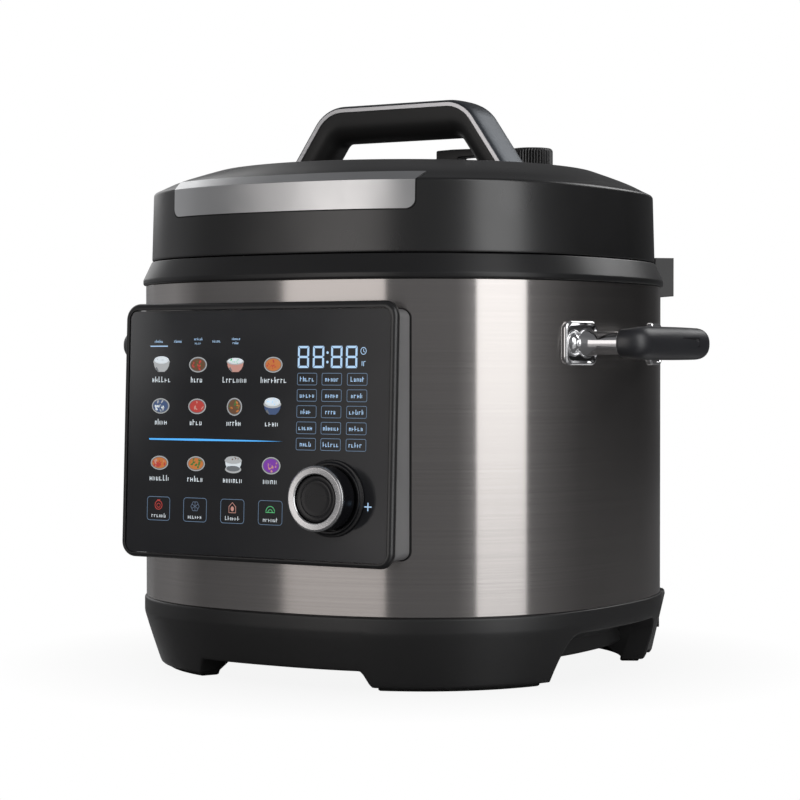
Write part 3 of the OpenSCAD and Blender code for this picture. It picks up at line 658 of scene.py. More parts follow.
def arch(x_foot, z_top, radius, z_low=300.5, steps=14):
    """Right half of an arch from its foot to the middle of its top, then mirrored."""
    centre_z = z_top - radius
    centre_x = x_foot - (radius + (centre_z - foot_line) * math.sin(HANDLE_LEAN)) / math.cos(HANDLE_LEAN)
    right = [(x_foot + (foot_line - z_low) * math.tan(HANDLE_LEAN), z_low)]
    for i in range(steps + 1):
        a = HANDLE_LEAN + (math.pi / 2 - HANDLE_LEAN) * i / steps
        right.append((centre_x + radius * math.cos(a), centre_z + radius * math.sin(a)))
    middle = [(centre_x * s, z_top) for s in (0.5, 0.0)]
    return right + middle + [(-x, z) for x, z in reversed(right + middle[:1])]


def outer_arch(depth):
    """The arch's outside, moved inwards by a depth."""
    return arch(foot_x - depth / math.cos(HANDLE_LEAN), handle_high.z - depth, shoulder - depth)


def carry(bm, section):
    """Carry a closed section of (across, depth) points along the arch."""
    layers = [outer_arch(depth) for _, depth in section]
    loft(bm, [[(layers[k][i][0], section[k][0], layers[k][i][1]) for k in range(len(section))]
              for i in range(len(layers[0]))])


print("points along the arch:", len(outer_arch(0)))

# %% Painted band and bright strips
strip_top, strip_bottom = 1.9, 4.7
bm = bmesh.new()
crown = [(half_wide * share, depth) for share, depth in
         ((0.0, 0.0), (0.33, 0.05), (0.58, 0.22), (0.78, 0.55), (0.90, 0.95), (0.965, 1.35))]
crown += [(half_wide - 0.05, strip_top - 0.1), (half_wide - 1.4, strip_top), (half_wide - 1.5, strip_bottom)]
carry(bm, crown + [(-y, depth) for y, depth in reversed(crown[1:])])
piece(bm, "handle_band", handle_paint, "lid_turntable", ["lid_handle"], edge=40)

bm = bmesh.new()
for side in (-1, 1):
    strip = [(1.35, strip_top), (0.35, strip_top), (0.1, strip_top + 0.25), (0.1, strip_bottom - 0.35),
             (0.35, strip_bottom - 0.1), (1.35, strip_bottom - 0.1)]
    carry(bm, [(side * (half_wide - inset), depth) for inset, depth in strip])
piece(bm, "handle_strips", silver_trim, "lid_turntable", ["handle_trims"], edge=40)

# %% Black core
bm = bmesh.new()
opening_foot, opening_top, opening_bend = 54.4, 320.6, 8
outer = outer_arch(strip_bottom - 0.1)
inner = arch(opening_foot, opening_top, opening_bend)
core_w = half_wide - 0.45
flat = 0.27          # share of the core's depth where its faces stay upright
turns = [math.pi / 2 * i / 12 for i in range(13)]
section = [(core_w - 0.15, 0.0), (core_w, 0.03), (core_w, flat * 0.5)]
section += [(core_w * math.cos(a) ** 0.9, flat + (1 - flat) * math.sin(a) ** 0.9) for a in turns[:-1]]
section += [(0.0, 1.0)]
section += [(-y, s) for y, s in reversed(section[:-1])]
loft(bm, [[(o[0] + (n[0] - o[0]) * s, y, o[1] + (n[1] - o[1]) * s) for y, s in section]
          for o, n in zip(outer, inner)])
piece(bm, "handle_core_body", handle_black, "lid_turntable", ["handle_core"], edge=40)

# %% [markdown]
# ## Valves on the disc
#
# The steam knob is a ribbed cap. Its ribs fade into a plain rounded rim at the top, which a loft of
# gently changing star outlines does without any boolean. The lever beside it is a bevelled bar.

# %% Steam knob
knob_low, knob_high = span("steam_knob")
knob_middle = (knob_low + knob_high) / 2
rib_count = 44


def rib_loop(radius, depth, z):
    steps = rib_count * 6
    points = []
    for i in range(steps):
        a = 2 * math.pi * i / steps
        wave = 0.5 - 0.5 * math.cos(a * rib_count)
        r = radius - depth * (1 - wave) ** 2
        points.append((knob_middle.x + r * math.cos(a), knob_middle.y + r * math.sin(a), z))
    return points


bm = bmesh.new()
cap_r = (knob_high.x - knob_low.x) / 2
top = knob_high.z
loft(bm, [rib_loop(cap_r - 0.6, 0.7, knob_low.z), rib_loop(cap_r, 0.9, knob_low.z + 0.8),
          rib_loop(cap_r, 0.9, top - 2.2), rib_loop(cap_r - 0.15, 0.5, top - 1.3),
          rib_loop(cap_r - 0.6, 0.05, top - 0.5), rib_loop(cap_r - 1.4, 0, top - 0.05),
          rib_loop(cap_r - 2.4, 0, top), rib_loop(cap_r - 3.2, 0, top - 0.5),
          rib_loop(cap_r - 3.8, 0, top - 0.9), rib_loop(2, 0, top - 0.9)])
pointer = Matrix.Translation(Vector((knob_middle.x, knob_middle.y - cap_r * 0.35, top - 0.9)) * mm)
slab(bm, rectangle(1.6, 0.9, 0.3, 3), -2.6, 2.6, pointer, 0.2, 2)
piece(bm, "steam_knob_cap", lid_plastic, "steam_knob", ["steam_knob"], edge=50)

# %% Release lever
lever_low, lever_high = span("release_lever")
lever_middle = (lever_low.y + lever_high.y) / 2
bm = bmesh.new()
outline = soften([(lever_low.x, lever_low.z), (lever_low.x + 14, lever_low.z), (lever_low.x + 16, 314.6),
                  (lever_high.x, 315.4), (lever_high.x, lever_high.z - 0.6),
                  (lever_low.x + 12, lever_high.z), (lever_low.x, lever_high.z - 0.4)], 1.2, 4, closed=True)
lever_frame = Matrix.Translation(Vector((0, lever_middle, 0)) * mm)
half_lever = (lever_high.y - lever_low.y) / 2
slab(bm, outline, -half_lever, half_lever, lever_frame, 0.8, 3)
ear = Matrix.Translation(Vector((24, lever_middle, 312.6)) * mm) @ Matrix.Rotation(math.pi / 2, 4, "X")
lathe(bm, [(1.6, -2.7), (2.9, -2.7), (2.9, 2.7), (1.6, 2.7), (1.6, -2.7)], ear, 32)
piece(bm, "release_lever_bar", lid_plastic, "release_lever", ["release_lever"])

# %% [markdown]
# ## Side handles
#
# Each grip is a bowed bar on two chrome tubes. The tubes flare into plates pressed onto the steel,
# with a raised frame and a dimple where each is riveted.

# %% Bracket plates and tubes
grip_low, grip_high = span("right_grip")
grip_z = (grip_low.z + grip_high.z) / 2
tube_low, tube_high = span("handle_tubes")
tube_r = (tube_high.z - tube_low.z) / 2
tube_y = tube_high.y - tube_r
plate_y = tube_y + 6.2
plate_turn = math.radians(12.3)


def on_shell(side, y, turn=0.0):
    """A frame on the shell: its Z points out along X, its Y is up and its X runs towards the front."""
    place = Matrix.Translation(Vector((side * side_of_body(y), y, grip_z)) * mm)
    outwards = Matrix(((0, 0, side, 0), (-1, 0, 0, 0), (0, 1, 0, 0), (0, 0, 0, 1)))
    return place @ Matrix.Rotation(turn, 4, "Z") @ outwards


bm = bmesh.new()
tube_out = tube_high.x - side_of_body(tube_y)
for side in (-1, 1):
    for front in (-1, 1):
        seat = on_shell(side, front * plate_y, side * front * plate_turn)
        levels = soften([(14.6, 12.7, -4.0), (14.6, 12.7, 0.9), (13.4, 11.5, 2.0), (12.1, 10.2, 0.8),
                         (9.0, 7.4, 0.6)], 0.7, 4)
        loops = [[(x, y, h) for x, y in rectangle(2 * a, 2 * b, min(b * 0.48, 5.0))] for a, b, h in levels]
        loft(bm, loops, matrix=seat)
        neck = [(0, -3), (9.4, -1.0), (8.2, 2.0), (tube_r + 0.7, 4.6), (tube_r, 8), (tube_r, tube_out)]
        neck = soften(neck, 1.8, 6)
        lathe(bm, neck + [(0, tube_out)], on_shell(side, front * tube_y), 64)
        dimple = seat @ Matrix.Translation(Vector((-front * 5.8, 0, 0.6)) * mm)
        lathe(bm, soften([(0, 3.3), (2.6, 3.0), (4.6, 1.6), (5.6, 0.3), (6.2, 0.3), (6.9, 1.1), (7.8, 0.2),
                          (8.0, -1.5), (0, -1.5)], 0.7, 4), dimple, 48)
piece(bm, "handle_chrome", chrome, "root", ["bracket_plates", "handle_tubes"], edge=55)

# %% [markdown]
# A grip is lofted along a bent path: its sections fan round a pivot at each end, from facing the
# body to facing outwards, and run straight between. It is thickest in the middle. A shallow frame
# with plain strokes fills the badge field on its outer face.

# %% Rubber grips
middle_r = (grip_high.z - grip_low.z) / 2
pivot_x, pivot_y = grip_low.x + 0.9, 35.4
END_THICK = 8.0


def grip_ring(y, angle, wide, thick, back=0.0, shrink=0.0, steps=36):
    """A section of the grip on an upright plane through (pivot_x, y), turned by an angle from X."""
    points = []
    for i in range(steps):
        c, s = math.cos(2 * math.pi * i / steps), math.sin(2 * math.pi * i / steps)
        out = wide / 2 + (wide / 2 - shrink) * math.copysign(abs(c) ** 0.87, c)
        points.append((pivot_x - back + out * math.cos(angle), y + out * math.sin(angle),
                       grip_z + (thick - shrink) * math.copysign(abs(s) ** 0.87, s)))
    return points


def grip_rings():
    """All sections from the front end to the back end of the right grip."""
    end_wide, middle_wide = grip_high.y - pivot_y, grip_high.x - pivot_x
    rings = [grip_ring(-pivot_y, -math.pi / 2, end_wide, END_THICK, back, shrink)
             for back, shrink in ((0.0, 1.9), (0.9, 1.7), (0.9, 1.0), (0.65, 0.35))]
    for i in range(21):
        share = i / 20
        smooth = share * share * (3 - 2 * share)
        wide = end_wide + (middle_wide - 0.4 - end_wide) * share + math.sin(math.pi * share) ** 2
        thick = END_THICK + (middle_r - 0.25 - END_THICK) * smooth
        rings.append(grip_ring(-pivot_y, -math.pi / 2 * (1 - share), wide, thick))
    for y in (-28, -18, -6):
        bow = 1 - (y / pivot_y) ** 2
        rings.append(grip_ring(y, 0, middle_wide - 0.4 + 0.4 * bow, middle_r - 0.25 + 0.25 * bow))
    return rings + [[(x, -y, z) for x, y, z in ring] for ring in reversed(rings)]


for side, name, node in ((1, "right_rubber_grip", "right_grip"), (-1, "left_rubber_grip", "left_grip")):
    bm = bmesh.new()
    loft(bm, [[(side * x, y, z) for x, y, z in ring] for ring in grip_rings()])
    badge_place = Matrix.Translation(Vector((side * (grip_high.x - 0.30), 14.5, grip_z + 0.6)) * mm)
    badge = badge_place @ Matrix.Rotation(side * math.pi / 2, 4, "Z")
    outer_edge, inner_edge = rectangle(24, 6.2, 0.8, 3), rectangle(23, 5.2, 0.8, 3)
    frame_steps = ((outer_edge, 0.4), (outer_edge, -0.12), (inner_edge, -0.12), (inner_edge, 0.4))
    loft(bm, [[(x, out, z) for x, z in edge] for edge, out in frame_steps], joined=True, matrix=badge)
    for i in range(6):
        stroke_x = side * (6.4 + i * 0.85)
        upright = [(stroke_x + x, z) for x, z in rectangle(0.4, 4.4, 0.15, 2)]
        slab(bm, upright, -0.1, 0.4, badge, 0.1, 1)
    piece(bm, name, grip_rubber, "root", [node], edge=45)
    bm = bmesh.new()
    slab(bm, rectangle(23, 5.2, 0.6, 3), -0.03, 0.4, badge, 0.02, 1)
    piece(bm, name + "_inlay", black_and_painted_gap_shadow, "root")

# %% [markdown]
# ## The control panel
#
# Everything on the panel is placed in one frame: X across, Z up, and minus Y out of the glass. The
# bezel is a rounded frame round the glass, and the housing behind it runs back to the curved steel.

# %% Bezel and glass
PANEL_TILT = math.radians(-2.2)
PANEL_MIDDLE = Vector((0, -164, 144.5))
panel = Matrix.Translation(PANEL_MIDDLE * mm) @ Matrix.Rotation(PANEL_TILT, 4, "X")
panel_out = panel @ Matrix.Rotation(math.pi / 2, 4, "X")     # X across, Y up, Z out of the glass
bezel_w, bezel_h, bezel_corner = 184, 146, 9
glass_w, glass_h, glass_mid = 176.8, 138.8, -0.2
glass_overlap = 0.35
rim_w = (bezel_w - glass_w) / 2 - glass_overlap


def frame_loop(inset, out, mid=0.5):
    """The bezel's outline moved in and out, sliding from the bezel's middle to the glass's."""
    points = rectangle(bezel_w - 2 * inset, bezel_h - 2 * inset, max(2.5, bezel_corner - inset), 12)
    share = inset / (rim_w + glass_overlap)
    return [(x, y + mid + (glass_mid - mid) * share, out) for x, y in points]


bm = bmesh.new()
turn = [i / 8 * math.pi / 2 for i in range(9)]
levels = [frame_loop(0.9, -4), frame_loop(0.3, -3.8), frame_loop(0, -3.2)]
levels += [frame_loop((rim_w - 0.5) * (1 - math.cos(a)), -2.4 + 3.2 * math.sin(a)) for a in turn]
levels += [frame_loop(rim_w - 0.1, 0.75), frame_loop(rim_w, 0.5), frame_loop(rim_w, -3.0),
           frame_loop(rim_w, -4)]
loft(bm, levels, joined=True, matrix=panel_out)
piece(bm, "panel_frame", bezel_black, "root", ["panel_bezel"], edge=50)

bm = bmesh.new()
outline = [(x, z + glass_mid) for x, z in rectangle(glass_w, glass_h, 4.6, 10)]
slab(bm, outline, 0, 2, panel, 0.3, 3)
piece(bm, "panel_glass_sheet", panel_glass, "root", ["panel_glass"])

# %% [markdown]
# The housing's back edge has to meet a curved body. Each point of its outline is carried back until
# it reaches the rounded square, which a plain extrusion couldn't do. The gasket is a short piece of
# the same walls.

# %% Housing behind the glass
HOUSING_TUCK = 0.052     # share by which the housing narrows towards the steel


def housing_loop(share, grow=0.0):
    """From the bezel's back (0) to the steel (1), following the curve of the body."""
    points = []
    for x, z in rectangle(glass_w + 2 * grow, glass_h + 2 * grow, 5 + grow, 10):
        near = (panel @ (Vector((x, 3.8, z + glass_mid)) * mm)) / mm
        tucked_x = near.x * (1 - HOUSING_TUCK * share)
        far_y = -side_of_body(tucked_x, body_r - 0.3)
        points.append((tucked_x, near.y + (far_y - near.y) * share, near.z))
    return points


bm = bmesh.new()
loft(bm, [housing_loop(0.0, -1.4), housing_loop(0.02, -0.5), housing_loop(0.06), housing_loop(0.5),
          housing_loop(0.94), housing_loop(0.97, -0.4), housing_loop(1.0, -0.4), housing_loop(1.0, -2.6),
          housing_loop(0.0, -2.6)], joined=True)
piece(bm, "panel_housing_skin", housing_grey, "root", ["panel_housing"])

# %% Gasket against the steel
bm = bmesh.new()
loft(bm, [housing_loop(0.95, -0.4), housing_loop(0.955, 0.6), housing_loop(1.0, 0.9),
          housing_loop(1.0, -0.4)], joined=True)
piece(bm, "panel_gasket_skin", black_and_painted_gap_shadow, "root", ["panel_gasket"])

# %% [markdown]
# ## The control knob
#
# The knob is turned work: a black drum, a bright face ring with bevelled edges, and a black button
# with one shallow ring pressed into it. Each is a profile spun about the axis that leaves the glass.

# %% Knob, ring and button
KNOB_MIDDLE = Vector((52.7, -35, 0))     # from the middle of the panel
knob_axis = panel_out @ Matrix.Translation(KNOB_MIDDLE * mm)
bm = bmesh.new()
surround = [(17.9, 0), (21.3, 0), (21.3, 1.7), (19.9, 1.9), (19.6, 3.6), (17.9, 3.6), (17.9, 2.4)]
lathe(bm, soften(surround, 0.5) + [(17.9, 0)], knob_axis, 96)
piece(bm, "knob_surround", knob_black, "root", ["knob_base_ring"])

bm = bmesh.new()
drum = [(13.6, 16), (13.6, 9), (4, 9), (4, 4.2), (16.9, 4.2), (17.5, 4.9), (17.7, 8), (17.7, 14.6),
        (17.3, 15.9), (13.6, 16)]
lathe(bm, drum, knob_axis, 96)
piece(bm, "knob_drum", knob_black, "control_knob", ["control_knob"], edge=30)

bm = bmesh.new()
face = [(13.2, 14), (13.2, 17.0), (13.75, 17.75), (16.9, 17.95), (17.95, 17.0), (17.95, 15.6),
        (17.2, 15.2), (17.2, 14)]
lathe(bm, soften(face, 0.25, 3) + [(13.2, 14)], knob_axis, 128)
piece(bm, "knob_face_ring", knob_silver, "control_knob", ["knob_ring"], edge=20)

bm = bmesh.new()
button = [(0, 16.35), (7.5, 16.4), (9.4, 16.5), (9.9, 16.3), (10.4, 16.5), (11.8, 16.6), (12.6, 16.3),
          (12.9, 15.6), (12.9, 12.2), (0, 12.2)]
lathe(bm, soften(button, 0.4, 3), knob_axis, 96)
piece(bm, "knob_button_cap", knob_black, "knob_button", ["knob_button"], edge=50)

# %% [markdown]
# ## Printed marks
#
# The lit marks are thin slabs on the glass, drawn in panel millimetres. Words are stood for by rows
# of small strokes of uneven width, since lettering isn't part of the lesson. Each dish is a bowl or
# plate with a seeded scatter of pieces on it, and all marks of one print colour share a finish.

# %% Print helpers
random.seed(12)
prints = []              # print finishes, in the order of their slots
PRINT_LIFT = 0.05        # underside of a printed slab above the glass
PRINT_THICK = 0.03


def print_finish(name, colour, glow=0.6):
    m = finish(name, colour, 0.35, Emission_Color=(*colour, 1), Emission_Strength=glow)
    vary_roughness(m, noise(m, 400), 0.3, 0.42)
    prints.append(m)
    return len(prints) - 1


def mark(bm, outline, colour, lift=PRINT_LIFT):
    """A thin slab of one print colour, from an outline in the panel's millimetres."""
    face = bm.faces.new([bm.verts.new(panel @ (Vector((x, -lift, z)) * mm)) for x, z in outline])
    face.material_index = colour
    made = bmesh.ops.extrude_face_region(bm, geom=[face])["geom"]
    moved = [g for g in made if isinstance(g, bmesh.types.BMVert)]
    bmesh.ops.translate(bm, verts=moved, vec=panel.to_3x3() @ Vector((0, -PRINT_THICK * mm, 0)))


def disk(x, z, rx, rz, steps=28):
    return [(x + rx * math.cos(2 * math.pi * i / steps), z + rz * math.sin(2 * math.pi * i / steps))
            for i in range(steps)]


def bar(x, z, w, h, corner=0.12):
    return [(x + px, z + pz) for px, pz in rectangle(w, h, min(corner, w / 2.1, h / 2.1), 2)]


def stroke(bm, points, width, colour, closed=False, lift=PRINT_LIFT):
    """A line of even width through points in the panel."""
    count = len(points)
    sides = [[], []]
    for i, p in enumerate(points):
        a = points[i - 1] if closed or i else p
        b = points[(i + 1) % count] if closed or i < count - 1 else p
        run = (Vector(b) - Vector(a)).normalized()
        out = Vector((-run.y, run.x)) * width / 2
        sides[0].append(tuple(Vector(p) + out))
        sides[1].append(tuple(Vector(p) - out))
    last = count if closed else count - 1
    for i in range(last):
        k = (i + 1) % count
        mark(bm, [sides[0][i], sides[0][k], sides[1][k], sides[1][i]], colour, lift)


def label(bm, x, z, width, height, colour):
    """A word stood for by strokes: uprights of uneven height and spacing with small crossbars."""
    place = x - width / 2
    thick = height * 0.14
    while place < x + width / 2 - height * 0.3:
        step = height * random.uniform(0.42, 0.66)
        tall = height * random.choice((0.68, 0.68, 0.72, 1.0))
        mark(bm, bar(place + thick / 2, z - height / 2 + tall / 2, thick, tall, 0.05), colour)
        kind = random.random()
        if kind < 0.75:
            cross_z = z - height / 2 + height * random.choice((0.1, 0.36, 0.6))
            mark(bm, bar(place + step / 2, cross_z, step * 0.62, thick * 0.8, 0.05), colour)
        if kind > 0.45:
            second_z = z - height / 2 + height * 0.34
            mark(bm, bar(place + step * 0.72, second_z, thick * 0.8, height * 0.6, 0.05), colour)
        place += step + thick * 1.1


ICE = print_finish("print_ice_blue", (0.42, 0.62, 0.86), 0.75)
LINE = print_finish("print_line_blue", (0.07, 0.36, 0.78), 1.0)
WHITE = print_finish("print_white", (0.68, 0.74, 0.78), 0.68)
PALE = print_finish("print_outline", (0.16, 0.25, 0.38), 0.6)
PLATE = print_finish("print_plate", (0.52, 0.54, 0.55), 0.45)
SHADE = print_finish("print_shade", (0.22, 0.24, 0.26), 0.3)
BLUE = print_finish("print_bowl_blue", (0.07, 0.12, 0.26), 0.4)
RED = print_finish("print_red", (0.52, 0.06, 0.05), 0.5)
PINK = print_finish("print_pink", (0.62, 0.32, 0.27), 0.5)
ORANGE = print_finish("print_orange", (0.60, 0.20, 0.05), 0.5)
BROWN = print_finish("print_brown", (0.16, 0.08, 0.04), 0.45)
GREEN = print_finish("print_green", (0.06, 0.20, 0.05), 0.5)
LEAF = print_finish("print_bright_green", (0.10, 0.50, 0.20), 0.6)
PURPLE = print_finish("print_purple", (0.22, 0.05, 0.42), 0.5)
SLATE = print_finish("print_slate", (0.14, 0.19, 0.28), 0.5)
print("print colours:", len(prints))

# %% [markdown]
# The dishes lie in three rows of four over the left part of the glass. Each is a stack of thin discs:
# a pale rim, a shaded hollow and the food's own colour, with a scatter of small flat pieces on top.

# %% Dishes
def scatter(bm, x, z, rx, rz, colours, count, size, lift):
    """Small flat pieces spread at random over an oval."""
    for i in range(count):
        a, d = random.uniform(0, 2 * math.pi), math.sqrt(random.random())
        px, pz = x + rx * d * math.cos(a), z + rz * d * math.sin(a)
        w = size * random.uniform(0.5, 1)
        h = size * random.uniform(0.25, 0.6)
        lean = random.uniform(0, 3)
        shape = [(px + u * math.cos(lean) - v * math.sin(lean), pz + u * math.sin(lean) + v * math.cos(lean))
                 for u, v in disk(0, 0, w, h, 9)]
        mark(bm, shape, random.choice(colours), lift + 0.012 * (i % 4))


def plate_of(bm, x, z, colours, tall=4.4, wide=6.2, count=26):
    mark(bm, disk(x, z, wide, tall), PLATE)
    mark(bm, disk(x, z, wide - 0.55, tall - 0.5), SHADE, 0.1)
    mark(bm, disk(x, z, wide - 1.0, tall - 0.9), colours[0], 0.14)
    scatter(bm, x, z, wide - 2.0, tall - 1.7, colours, count, 1.25, 0.19)


def bowl_of(bm, x, z, side, colours, heap=0.0):
    right = [(5.6, 1.4), (5.2, -0.8), (4.0, -2.8), (2.2, -4.1)]
    body = [(x - out, z + up) for out, up in right] + [(x + out, z + up) for out, up in reversed(right)]
    mark(bm, body, side)
    shadow = ((4.4, 2.2), (3.2, 3.4), (1.6, 4.0), (2.6, 2.6), (3.4, 1.2))
    mark(bm, [(x - out, z - down) for out, down in shadow], SHADE, 0.09)
    mark(bm, disk(x, z + 1.7, 5.9, 1.6 + heap * 0.6), PLATE, 0.12)
    mark(bm, disk(x, z + 1.9 + heap, 5.2, 1.3 + heap), colours[0], 0.16)
    scatter(bm, x, z + 1.9 + heap, 4.0, 0.9 + heap * 0.7, colours, 18, 0.8, 0.2)


bm = bmesh.new()
columns = (-65.5, -39.7, -13.8, 12.0)
dish_rows = (38.3, 14.6, -18.0)
label_rows = (29.8, 5.5, -26.6)
top, middle, low = dish_rows
bowl_of(bm, columns[0], top, PLATE, [WHITE, WHITE, PLATE], 0.8)
plate_of(bm, columns[1], top, [BROWN, GREEN, BROWN, RED])
bowl_of(bm, columns[2], top, PINK, [WHITE, WHITE, LEAF], 0.3)
plate_of(bm, columns[3], top, [ORANGE, ORANGE, RED])
plate_of(bm, columns[0], middle, [BLUE, WHITE, SLATE, PLATE])
plate_of(bm, columns[1], middle, [RED, RED, PINK], count=14)
plate_of(bm, columns[2], middle, [BROWN, BROWN, ORANGE, GREEN], tall=5.0, wide=5.2)
bowl_of(bm, columns[3], middle, BLUE, [WHITE, WHITE, ICE], 1.1)
plate_of(bm, columns[0], low, [ORANGE, RED, PINK, RED], tall=4.0)
plate_of(bm, columns[1], low, [ORANGE, ORANGE, GREEN], tall=4.2)
mark(bm, disk(columns[2], low - 2.6, 5.5, 2.2), PLATE)
mark(bm, disk(columns[2], low - 2.2, 4.6, 1.6), SHADE, 0.09)
bowl_of(bm, columns[2], low + 0.6, WHITE, [PLATE, BROWN, PLATE], 0.5)
plate_of(bm, columns[3], low, [PURPLE, PURPLE, PINK], tall=4.8)
word_widths = (12.5, 9.5, 17.0, 16.5, 7.6, 9.7, 10.4, 9.4, 13.5, 11.5, 13.5, 10.5)
for i, width in enumerate(word_widths):
    label(bm, columns[i % 4], label_rows[i // 4], width, 3.3, WHITE)
print("print faces with the dishes:", len(bm.faces))

# %% [markdown]
# Above the dishes is a row of small tabs with one underlined, below them a bright blue divider, and
# at the foot four framed buttons with line icons. Icons are strokes of even width.

# %% Tabs, divider and lower buttons
def outline_box(bm, x, z, w, h, corner, width, colour):
    stroke(bm, [(x + px, z + pz) for px, pz in rectangle(w, h, corner, 4)], width, colour, closed=True)


for i, x in enumerate((-67.6, -53.8, -39.8, -26.9, -13.6)):
    if i in (2, 4):
        label(bm, x, 52.9, 5.6, 1.5, ICE)
        label(bm, x, 50.6, 4.6, 1.5, ICE)
    else:
        label(bm, x, 51.7, 6.0, 1.7, ICE)
mark(bm, bar(-67.5, 48.9, 12.4, 0.6), ICE)
mark(bm, [(-73.4, -4.0), (-73.0, -4.9), (-40, -5.0), (0, -4.7), (19.3, -4.35), (0, -4.0), (-40, -3.75)], LINE)
z = -44.2                # height of the lower buttons
for column, tint in zip(columns, (RED, SLATE, PINK, LEAF)):
    outline_box(bm, column, z, 16, 13.4, 1.8, 0.26, PALE)
    label(bm, column, z - 3.9, 9.6, 2.4, WHITE)
    if tint == RED:
        stroke(bm, disk(column, z + 2.0, 2.5, 2.5, 24), 0.45, tint, closed=True)
        stroke(bm, disk(column, z + 1.8, 1.2, 1.2, 16), 0.4, tint, closed=True)
        mark(bm, bar(column, z + 4.9, 2.2, 0.5), tint)
    elif tint == SLATE:
        stroke(bm, disk(column, z + 2.0, 2.9, 2.9, 6), 0.34, tint, closed=True)
        for k in range(3):
            a = math.pi / 6 + k * math.pi / 3
            dx, dz = 2.6 * math.cos(a), 2.6 * math.sin(a)
            stroke(bm, [(column - dx, z + 2 - dz), (column + dx, z + 2 + dz)], 0.28, tint)
    elif tint == PINK:
        house = ((-2.3, -0.8), (-2.3, 2.6), (0, 4.9), (2.3, 2.6), (2.3, -0.8))
        stroke(bm, [(column + dx, z + dz) for dx, dz in house], 0.4, tint, closed=True)
        mark(bm, disk(column, z + 1.4, 1.1, 1.4, 14), tint)
    else:
        arcs = ((3, 3.4, 0.2, 10, 0.45, True), (1.5, 1.5, 0.3, 6, 0.4, False))
        for wide_r, tall_r, foot, corners, width, closed in arcs:
            turns = [math.pi * k / corners for k in range(corners + 1)]
            arc = [(column + wide_r * math.cos(a), z + foot + tall_r * math.sin(a)) for a in turns]
            stroke(bm, arc, width, tint, closed=closed)
print("print faces with the lower buttons:", len(bm.faces))

# %% [markdown]
# The clock's digits are built as a display has them, from seven separate bars with mitred ends. All
# bars of each digit are lit, which shows the display's shape and sets no time.

# %% Clock digits
DIGIT_W, DIGIT_H = 7.4, 12.2
BAR_THICK = 1.25
BAR_GAP = 0.22


def clock_digit(bm, x, z):
    """The seven bars of one digit about a middle."""
    half, across = DIGIT_H / 2, DIGIT_W / 2 - BAR_GAP
    for up in (1, 0, -1):
        if up:
            level, inner = z + up * half, z + up * (half - BAR_THICK)
            mark(bm, [(x - across, level), (x + across, level), (x + across - BAR_THICK, inner),
                      (x - across + BAR_THICK, inner)], ICE)
        else:
            tip, shoulder_x, rise = across - 0.3, across - 0.9, BAR_THICK / 2
            mark(bm, [(x - tip, z), (x - shoulder_x, z + rise), (x + shoulder_x, z + rise), (x + tip, z),
                      (x + shoulder_x, z - rise), (x - shoulder_x, z - rise)], ICE)
    for sx in (-1, 1):
        for sz in (-1, 1):
            outer_x = x + sx * DIGIT_W / 2
            inner_x = outer_x - sx * BAR_THICK
            mark(bm, [(outer_x, z + sz * BAR_GAP * 2), (outer_x, z + sz * (half - BAR_GAP)),
                      (inner_x, z + sz * (half - BAR_THICK - BAR_GAP)), (inner_x, z + sz * BAR_GAP * 3)], ICE)


for x in (32.1, 42.0, 53.9, 63.6):
    clock_digit(bm, x, 42.6)
for z in (39.8, 45.0):
    mark(bm, disk(47.9, z, 0.75, 0.75, 14), ICE)
stroke(bm, disk(71.2, 45.9, 1.75, 1.9, 20), 0.35, ICE, closed=True)
stroke(bm, [(71.2, 47.0), (71.2, 45.7), (72.1, 45.2)], 0.35, ICE)
stroke(bm, [(70.4, 40.3), (70.4, 37.8)], 0.4, ICE)
stroke(bm, [(72.6, 40.2), (71.4, 40.0), (71.4, 37.6)], 0.4, ICE)
print("print faces with the clock:", len(bm.faces))

# %% Programme buttons and plus sign
ROW_TOP, ROW_PITCH = 30.4, 8.98
for row in range(5):
    z = ROW_TOP - ROW_PITCH * row
    for x in (34.8, 51.0, 67.5):
        outline_box(bm, x, z, 12.8, 6.5, 0.9, 0.26, PALE)
        label(bm, x, z, random.uniform(7.4, 10.4), 2.7, ICE)
mark(bm, bar(76.0, -38.9, 4.6, 0.62), ICE)
for z in (-37.6, -40.2):
    mark(bm, bar(76.0, z, 0.62, 1.96), ICE)
piece(bm, "panel_prints", prints, "root", edge=20, weld=False)

# %% [markdown]
# ## Parts that keep their engineering mesh
#
# Fittings at the back and parts inside are already exact, so they keep their meshes. They get a
# finish each, and a small bevel where a moulded or pressed edge would catch the light.

# %% Dress the remaining nodes
def dress(node, material, bevel=0.0):
    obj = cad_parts[node]
    obj.data.materials.clear()
    obj.data.materials.append(material)
    if bevel:
        weld = obj.modifiers.new("weld", "WELD")
        weld.merge_threshold = 0.01 * mm
        edge = obj.modifiers.new("edge", "BEVEL")
        edge.width = bevel * mm
        edge.segments = 3
        edge.limit_method = "ANGLE"
        edge.angle_limit = math.radians(40)
        edge.harden_normals = True


